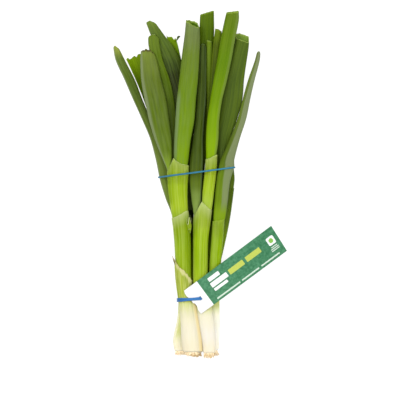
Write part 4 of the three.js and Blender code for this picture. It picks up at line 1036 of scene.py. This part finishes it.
def root_tuft(x, y, z, wide, high, longest, seed, count=64):
    """Threads from a sunflower pattern: root k stands at the golden angle x k, at radius sqrt(k)."""
    draw = np.random.default_rng(seed)
    k = np.arange(count)
    turn, radius = GOLDEN_ANGLE * k + draw.uniform(-0.2, 0.2, count), np.sqrt((k + 0.5) / count) * 0.86
    side = np.stack([np.cos(turn), 0 * turn, np.sin(turn)], -1)
    start = np.array([x, y - 0.2, z]) + side * radius[:, None] * np.array([wide, 0, high])
    reach = draw.uniform(0.4, 1, count) * longest * (1.05 - 0.35 * radius)
    t = np.linspace(0, 1, 9)[None]
    lean = (0.15 + 0.5 * radius * draw.uniform(0.3, 1, count))[:, None, None] * side[:, None]
    bend = draw.uniform(-0.8, 0.8, (count, 1, 3)) * np.array([1, 0, 0.8])
    way = reach[:, None, None] * t[..., None] * (np.array([0, -1, 0]) + lean)
    path = start[:, None] + way + bend * t[..., None] ** 2
    path[..., 2] -= 0.35 * t**2
    thick = draw.uniform(0.26, 0.52, count)[:, None] * (1 - 0.5 * t**1.5)
    return threads(path, thick, sides=7, rim=t**3 * draw.uniform(0, 1, (count, 1)))


LONGEST = (4.2, 5.6, 6.2, 4.2, 4.2)  # mm, plant by plant
for number, (plant, sheaths) in enumerate(SHAFTS.items()):
    y, left, right, middle, thick = sheaths[0]["rows"][0]
    spot = ((left + right) / 2, y, middle, PLATE_SHARE * (right - left), PLATE_SHARE * thick)
    shells = [root_plate(*spot), root_tuft(*spot, LONGEST[number], 60 + number)]
    make_piece(f"{plant}_roots", shells, root_finish)

# %% [markdown]
# ## The dry outer skin
# The oldest sheath of the first plant has dried to a papery skin. It clings to the stem, is torn
# on a slant at the top and has browned along its edges. It is a plate laid on the sheath below it:
# the same section, grown a little, so it can't leave the stem.

# %% Dry skin
SKIN_FOOT, SKIN_RIGHT, SKIN_LEFT = -141.4, -81.5, -60  # mm along the bunch: foot, and top on each side
SKIN_THICK, SKIN_GAP = 0.24, 0.42  # mm, its own and to the stem


def dry_skin():
    """Angles 0 to pi over the showing side; at each, y runs from the foot to the torn edge.

    The torn edge climbs from the right to the left as share^1.05, with a ragged line on it. The
    skin stands off by its gap and fine lengthwise pleats, curls up over its last 3 mm and a little
    more at its tip. The straw band under the edge is its zone, a golden strip on the right where it
    is loose its collar, and the dark tip its inside."""
    angle = np.linspace(0.3, np.pi + 0.1, 90)[None]
    share, t = np.linspace(0, 1, 90)[None], np.linspace(0, 1, 100)[:, None]
    ragged = np.interp(share, np.linspace(0, 1, 34), np.random.default_rng(5).uniform(-1.3, 0.7, 34))
    top = SKIN_RIGHT + (SKIN_LEFT - SKIN_RIGHT) * share**1.05 + ragged
    y = SKIN_FOOT + (top - SKIN_FOOT) * t
    below = top - y
    pleats = 0.09 * np.sin(34 * angle + 0.03 * y + 2 * np.sin(0.05 * y)) * smooth_step(0, 0.5, t)
    loose = smooth_step(-84, -100, y)
    flap = 2.1 * loose * smooth_step(0.72, 0.3, angle) + 0.2 * smooth_step(np.pi - 0.1, np.pi + 0.1, angle)
    curl = 0.55 * smooth_step(3.2, 0, below) * (0.4 + 0.6 * np.abs(np.sin(5 * angle + 1)))
    curl = curl + 0.9 * smooth_step(0.8, 0.92, share) * smooth_step(5, 2.5, below)
    stand = SKIN_GAP + pleats + flap + curl + ripple(angle, y, 0, SHEATH_DENTS)
    x, z, cx, cz = section(SHAFTS["plant_1"][0], y, angle, 0.0)
    out = np.stack(np.broadcast_arrays(np.cos(angle), 0 * x, np.sin(angle)), -1)
    base = np.stack([x, y, z], -1) + out * stand[..., None]
    tip = smooth_step(0.8, 0.88, share) * smooth_step(4.6, 3.4, below) * smooth_step(0.4, 1.2, below)
    rim = smooth_step(1.1, 0.1, below) * (0.6 + 0.4 * share)
    golden = smooth_step(0.74, 0.5, angle) * loose
    straw = smooth_step(5.6, 2.6, below + np.sin(23 * share)) * smooth_step(0.98, 0.8, share)
    grain = base - np.stack(np.broadcast_arrays(cx, 0 * x, cz), -1)
    return plate(base + out * SKIN_THICK, base, grain=grain, rim=rim, zone=straw, inner=tip, collar=golden)


SKIN_TONES = [(-146, 258, 236, 190), (-141, 250, 238, 210), (-124, 245, 237, 214), (-110, 243, 236, 206),
    (-105, 241, 236, 194), (-101.5, 234, 236, 176), (-98.5, 198, 206, 100), (-90, 182, 196, 60),
    (-80, 166, 184, 36), (-62, 164, 180, 40)]
skin_finish = grown("dry outer skin", SKIN_TONES, streak=(0.8, 1.5), wax_and_zone_tone=(226, 222, 160),
                    wax_amount=0.05, zone_strength=0.7, inner_tone=(84, 78, 40), rough=0.6,
                    pale=(1.6, (220, 224, 130), 0.5), rim_tone=(178, 146, 76), rim_break=0.3,
                    collar=((232, 210, 148), 0.8))
make_piece("plant_1_dry_skin", [dry_skin()], skin_finish)

# %% [markdown]
# ## The card tag
# A strip of thin printed card with a white tail, threaded on the lower band through a slit. It
# rests on the stems and droops to the table at its far end. It is one plate: its height is a
# curve of the place along it, and the slit is a few cells left out of the grid.

# %% Tag sizes, in mm along and across the card
TAG = {"corner": (-13.6, -89.9), "turn": math.radians(36.3), "long": 91.6, "wide": 24.4}
TAG_SKEW, TAG_FLARE = 1.7, 0.031  # how its far end slants, and how it widens there
TAG_RISE = [(0, 26.7), (5, 26.9), (9.6, 28.6), (14, 28.9), (25, 28), (37, 25.1), (55, 18.1), (75, 9.3),
    (91.6, 1.1)]  # mm along the card, height
SLIT = {"along": (6.4, 8.6), "across": (11.8, 15.0)}
CARD_THICK = 0.45


def on_card(along, across, lift=0.0):
    """The corner, plus `along` in the tag's direction and `across` square to it; height by curve."""
    c, s = math.cos(TAG["turn"]), math.sin(TAG["turn"])
    x = TAG["corner"][0] + along * c + across * s
    y = TAG["corner"][1] + along * s - across * c
    return np.stack([x, y, row_curve(TAG_RISE, 1, along) + lift + 0 * x], -1)


def card():
    """A grid whose lines pass through the slit's edges. The tail's end has a notch and a tongue.

    Each is a step up times a step down across the card, and fades over 4 mm along it."""
    along = np.union1d(np.linspace(0, TAG["long"], 150), SLIT["along"])
    across = np.union1d(np.linspace(0, TAG["wide"], 44), SLIT["across"])
    a, b = np.meshgrid(along, across, indexing="ij")
    notch = 1.1 * smooth_step(13, 14.2, b) * smooth_step(20.5, 17, b)
    tongue = 0.9 * smooth_step(0, 3, b) * smooth_step(9, 5, b)
    part, share = a / TAG["long"], b / TAG["wide"]
    nick = (notch - tongue) * smooth_step(4, 0, a) + TAG_SKEW * (0.45 - share) * part**6
    spread_out = TAG_FLARE * (share - 0.4) * TAG["wide"] * part
    wave = 0.12 * np.sin(0.13 * a + 0.2 * b) * smooth_step(14, 40, a)
    base = on_card(a + nick, b + spread_out, wave)
    half = [0, 0, CARD_THICK / 2]
    middle_a, middle_b = (along[:-1] + along[1:])[:, None] / 2, (across[:-1] + across[1:])[None] / 2
    (a0, a1), (b0, b1) = SLIT["along"], SLIT["across"]
    keep = ~((middle_a > a0) & (middle_a < a1) & (middle_b > b0) & (middle_b < b1))
    return plate(base + half, base - half, keep, grain=np.stack([a, b, np.ones_like(a)], -1))


# %% [markdown]
# ## The print on the card
# The card is plain: a white tail, a green field, and blank bars where a printed label has its
# words. A bar is a rounded rectangle, and one node group works out any of them from its centre
# and half sizes: the distance outside a box, less the corner's radius.

# %% A printed bar, as a node group
BAR_EDGE = 0.06  # mm on each side of a bar's edge, where its ink fades
BAR_SIZES = {"Along": 0.0, "Across": 0.0, "Half long": 5.0, "Half wide": 1.0, "Corner": 0.3}
bar, taken, given = effect("printed bar", BAR_SIZES)
parts = place(bar, "SeparateXYZ", {0: taken["Place"]}).outputs


def outside(axis, centre, half):
    """How far beyond the half size a place is along one axis, with the corner's radius added."""
    away = maths(bar, "ABSOLUTE", maths(bar, "SUBTRACT", parts[axis], taken[centre]))
    return maths(bar, "ADD", maths(bar, "SUBTRACT", away, taken[half]), taken["Corner"])


beyond = [outside("X", "Along", "Half long"), outside("Y", "Across", "Half wide")]
square = [maths(bar, "POWER", maths(bar, "MAXIMUM", v, 0.0), 2.0) for v in beyond]
reach = maths(bar, "SQRT", maths(bar, "ADD", *square))
within = maths(bar, "MINIMUM", maths(bar, "MAXIMUM", *beyond), 0.0)
gap = maths(bar, "SUBTRACT", maths(bar, "ADD", reach, within), taken["Corner"])
feed(bar, given, {0: spread(bar, gap, -BAR_EDGE, BAR_EDGE, 1.0, 0.0)})

# %% The card's finish
WHITE_INK, PALE_INK, YELLOW_INK = (250, 250, 249), (212, 230, 212), (196, 208, 92)
FIBRE_HEIGHT = 0.0001  # metres
FIELD = (53.5, 12.2, 40.0, 14.0, 0.05)  # along, across, half long, half wide, corner
BARS = [  # the same, and the ink
    (27.5, 5.2, 5.6, 1.7, 0.4, WHITE_INK),
    (29.6, 10.3, 8.4, 2.1, 0.4, WHITE_INK),
    (28.2, 14.8, 6.8, 1.2, 0.3, WHITE_INK),
    (47.6, 10.2, 7.6, 2.3, 0.5, YELLOW_INK),
    (65.4, 10.2, 7.5, 2.3, 0.5, YELLOW_INK),
    (31.0, 22.0, 12.0, 0.6, 0.2, PALE_INK),
    (54.0, 22.0, 9.0, 0.6, 0.2, PALE_INK),
    (75.3, 22.0, 9.8, 0.6, 0.2, PALE_INK),
    (84.6, 9.7, 3.5, 3.5, 1.1, WHITE_INK),
    (84.6, 9.7, 2.0, 2.0, 2.0, (140, 196, 84)),
    (84.4, 14.9, 3.0, 0.4, 0.2, PALE_INK),
    (84.2, 16.4, 4.0, 0.4, 0.2, PALE_INK),
    (84.0, 17.9, 4.0, 0.4, 0.2, PALE_INK),
]


def printed_card():
    """White card, the green field's mottled ink, then every bar laid over it in turn."""
    finish, tree, skin = new_finish("printed card")
    spot = place(tree, "Attribute", attribute_name="grain").outputs["Vector"]

    def printed(below, sizes, ink):
        return over_colour(tree, use(tree, bar, {"Place": spot} | dict(zip(BAR_SIZES, sizes))), below, ink)

    mottle = spread(tree, noise(tree, spot, 5.0, 0.5), 0.35, 0.65)
    green = over_colour(tree, mottle, paint(52, 118, 78), paint(80, 144, 104))
    colour = printed(paint(251, 251, 250), FIELD, green)
    for *sizes, ink in BARS:
        colour = printed(colour, sizes, paint(*ink))
    fibres = noise(tree, spot, 4.0, 3.0)
    dress(tree, skin, colour, spread(tree, fibres, 0.3, 0.7, 0.38, 0.5), 0.15, fibres, 0.25, FIBRE_HEIGHT)
    return finish


make_piece("tag", [card()], printed_card())

# %% [markdown]
# ## The elastic bands
# A tight band follows the outline of whatever it holds, straight from one bulge to the next. That
# outline needs no polygon code: in every direction, the held point that lies furthest out is on
# it. Adding a little along the same direction rounds the corners by the band's own thickness.

# %% What a band holds
OVER_SKIN, OVER_STEM, OVER_LEAF = 0.85, 0.3, 0.1  # mm that a band stays off what it holds


def held(at, lean):
    """Points round the section of every stem and leaf in the band's plane y = at + lean * x."""
    first = SHAFTS["plant_1"][0]
    pieces = [(s, OVER_SKIN if s is first else OVER_STEM) for sheaths in SHAFTS.values() for s in sheaths]
    pieces += [(leaf, OVER_LEAF) for leaf in LEAVES.values()]
    angle = np.linspace(0, 2 * np.pi, 60)
    found = []
    for piece, grow in pieces:
        left, right, *_ = measures(piece, at)
        y = at + lean * (left + right) / 2
        if piece["rows"][0][0] < y < piece["rows"][-1][0]:
            found.append(np.stack(section(piece, y, angle, grow)[:2], -1))
    return np.concatenate(found)


def band_line(points, corner, count=420):
    """The outermost point in each direction, plus `corner` along it, at even steps of length."""
    turn = np.linspace(0, 2 * np.pi, 1441)
    ways = np.stack([np.cos(turn), np.sin(turn)], -1)
    outline = points[np.argmax(ways @ points.T, 1)] + corner * ways
    length = np.concatenate([[0], np.cumsum(np.hypot(*np.diff(outline, axis=0).T))])
    at = np.linspace(0, length[-1], count, endpoint=False)
    return np.stack([np.interp(at, length, outline[:, k]) for k in (0, 1)], -1)


def length_round(line):
    """The length of a closed line, in mm."""
    return round(float(np.hypot(*(line - np.roll(line, 1, 0)).T).sum()), 1)


def strand(line, at, lean, size, shift=0.0, sides=14):
    """A closed strand: at each step of the line, a rounded oblong of |cos|^0.5 and |sin|^0.5."""
    wide, thick = size
    ahead = np.roll(line, -1, 0) - np.roll(line, 1, 0)
    ahead = ahead / np.hypot(*ahead.T)[:, None]
    out = np.stack([ahead[:, 1], -ahead[:, 0]], -1)
    a = np.linspace(0, 2 * np.pi, sides, endpoint=False)
    side, depth = (np.sign(v) * np.abs(v) ** 0.5 for v in (np.cos(a), np.sin(a)))
    flat = line[:, None] + out[:, None] * depth[:, None] * thick / 2
    y = at + lean * flat[..., 0] + np.reshape(shift, (-1, 1)) + side * wide / 2
    points = np.stack([flat[..., 0], y, flat[..., 1]], -1)
    length = np.cumsum(np.hypot(*(line - np.roll(line, 1, 0)).T))[:, None]
    grain = np.stack(np.broadcast_arrays(side * wide / 2, length, depth * thick / 2), -1)
    quads = ring_faces(len(line), sides, closed=True)
    return closed_shell(points.reshape(-1, 3), quads, {"grain": grain.reshape(-1, 3)})


# %% Rubber
LINE_HEIGHT = 0.0001  # metres


def rubber(name, body, lines_tone, dust_tone):
    """Blue rubber: a dull body colour, paler dusty patches, and fine lines along its length."""
    finish, tree, skin = new_finish(name)
    spot = place(tree, "Attribute", attribute_name="grain").outputs["Vector"]
    lines = use(tree, streaks, {"Place": spot, "Across": 1.6, "Along": 0.05, "Sharpness": 0.5})
    dust = use(tree, wax, {"Place": spot, "Amount": 0.3})
    colour = paint(*body)
    for mask, tone in ((lines, lines_tone), (dust, dust_tone)):
        colour = over_colour(tree, mask, colour, paint(*tone))
    dress(tree, skin, colour, spread(tree, dust, 0.0, 0.6, 0.5, 0.7), 0.15, lines, 0.4, LINE_HEIGHT)
    return finish


band_finish = rubber("blue rubber", (28, 84, 150), (48, 120, 190), (92, 146, 196))
thin_finish = rubber("thin blue rubber", (20, 92, 128), (44, 134, 166), (84, 150, 168))

# %% The upper band: one thin strand
UPPER = (10.9, 0.13)  # its place along the bunch in mm, and its lean
UPPER_SIZE = (1.35, 0.95)  # mm wide and thick
upper = band_line(held(*UPPER), 0.55)
make_piece("band_upper", [strand(upper, *UPPER, UPPER_SIZE)], thin_finish)
print("the upper band is", length_round(upper), "mm round")

# %% The lower band: two turns side by side, over the tag's tail and through its slit
LOWER = (-96.3, 0.09)
LOWER_SIZE = (1.5, 1.0)
tail = on_card(np.array([0.4, 4.6]), np.array([12.0, 12.6]))
lower = band_line(np.concatenate([held(*LOWER), tail[:, [0, 2]] + [0, 0.3]]), 0.6)
at_the_slit = np.exp(-(((lower[:, 0] - 0.4) / 2.2) ** 2)) * (lower[:, 1] > 20)
apart = 0.5 + 0.32 * smooth_step(-8, -16, lower[:, 0]) + 0.3 * at_the_slit
sway = 0.18 * np.sin(np.linspace(0, 6 * np.pi, len(lower), endpoint=False))
strands = [strand(lower, *LOWER, LOWER_SIZE, side * apart + sway) for side in (-1, 1)]
make_piece("band_lower", strands, band_finish)
print("the lower band is", length_round(lower), "mm round")

# %% [markdown]
# ## The table
# A plain pale sheet, only there to catch soft shadows. It isn't part of the bunch. It sends out a
# little light of its own, which keeps it white up to its edge.

# %% Table
SHEET_HALF, SHEET_Z = 4, -0.0002  # metres
GLOW, GLOW_SHARE = 1.12, 0.8  # its own light, and how much of what the camera sees is that light
table_mesh = bpy.data.meshes.new("table")
corners = [(SHEET_HALF * a, SHEET_HALF * b, SHEET_Z) for a, b in ((-1, -1), (1, -1), (1, 1), (-1, 1))]
table_mesh.from_pydata(corners, [], [(0, 1, 2, 3)])
pale, ground, paper = new_finish("pale table")
feed(ground, paper, {"Base Color": (0.85, 0.85, 0.85, 1), "Roughness": 0.9, "Specular IOR Level": 0.0})
glow = place(ground, "Emission", {"Color": (1, 1, 1, 1), "Strength": GLOW}).outputs[0]
seen = maths(ground, "MULTIPLY", place(ground, "LightPath").outputs["Is Camera Ray"], GLOW_SHARE)
mixed = place(ground, "MixShader", {0: seen, 1: paper.outputs[0], 2: glow}).outputs[0]
feed(ground, ground.nodes["Material Output"], {"Surface": mixed})
table_mesh.materials.append(pale)
table = bpy.data.objects.new("table", table_mesh)
scene.collection.objects.link(table)
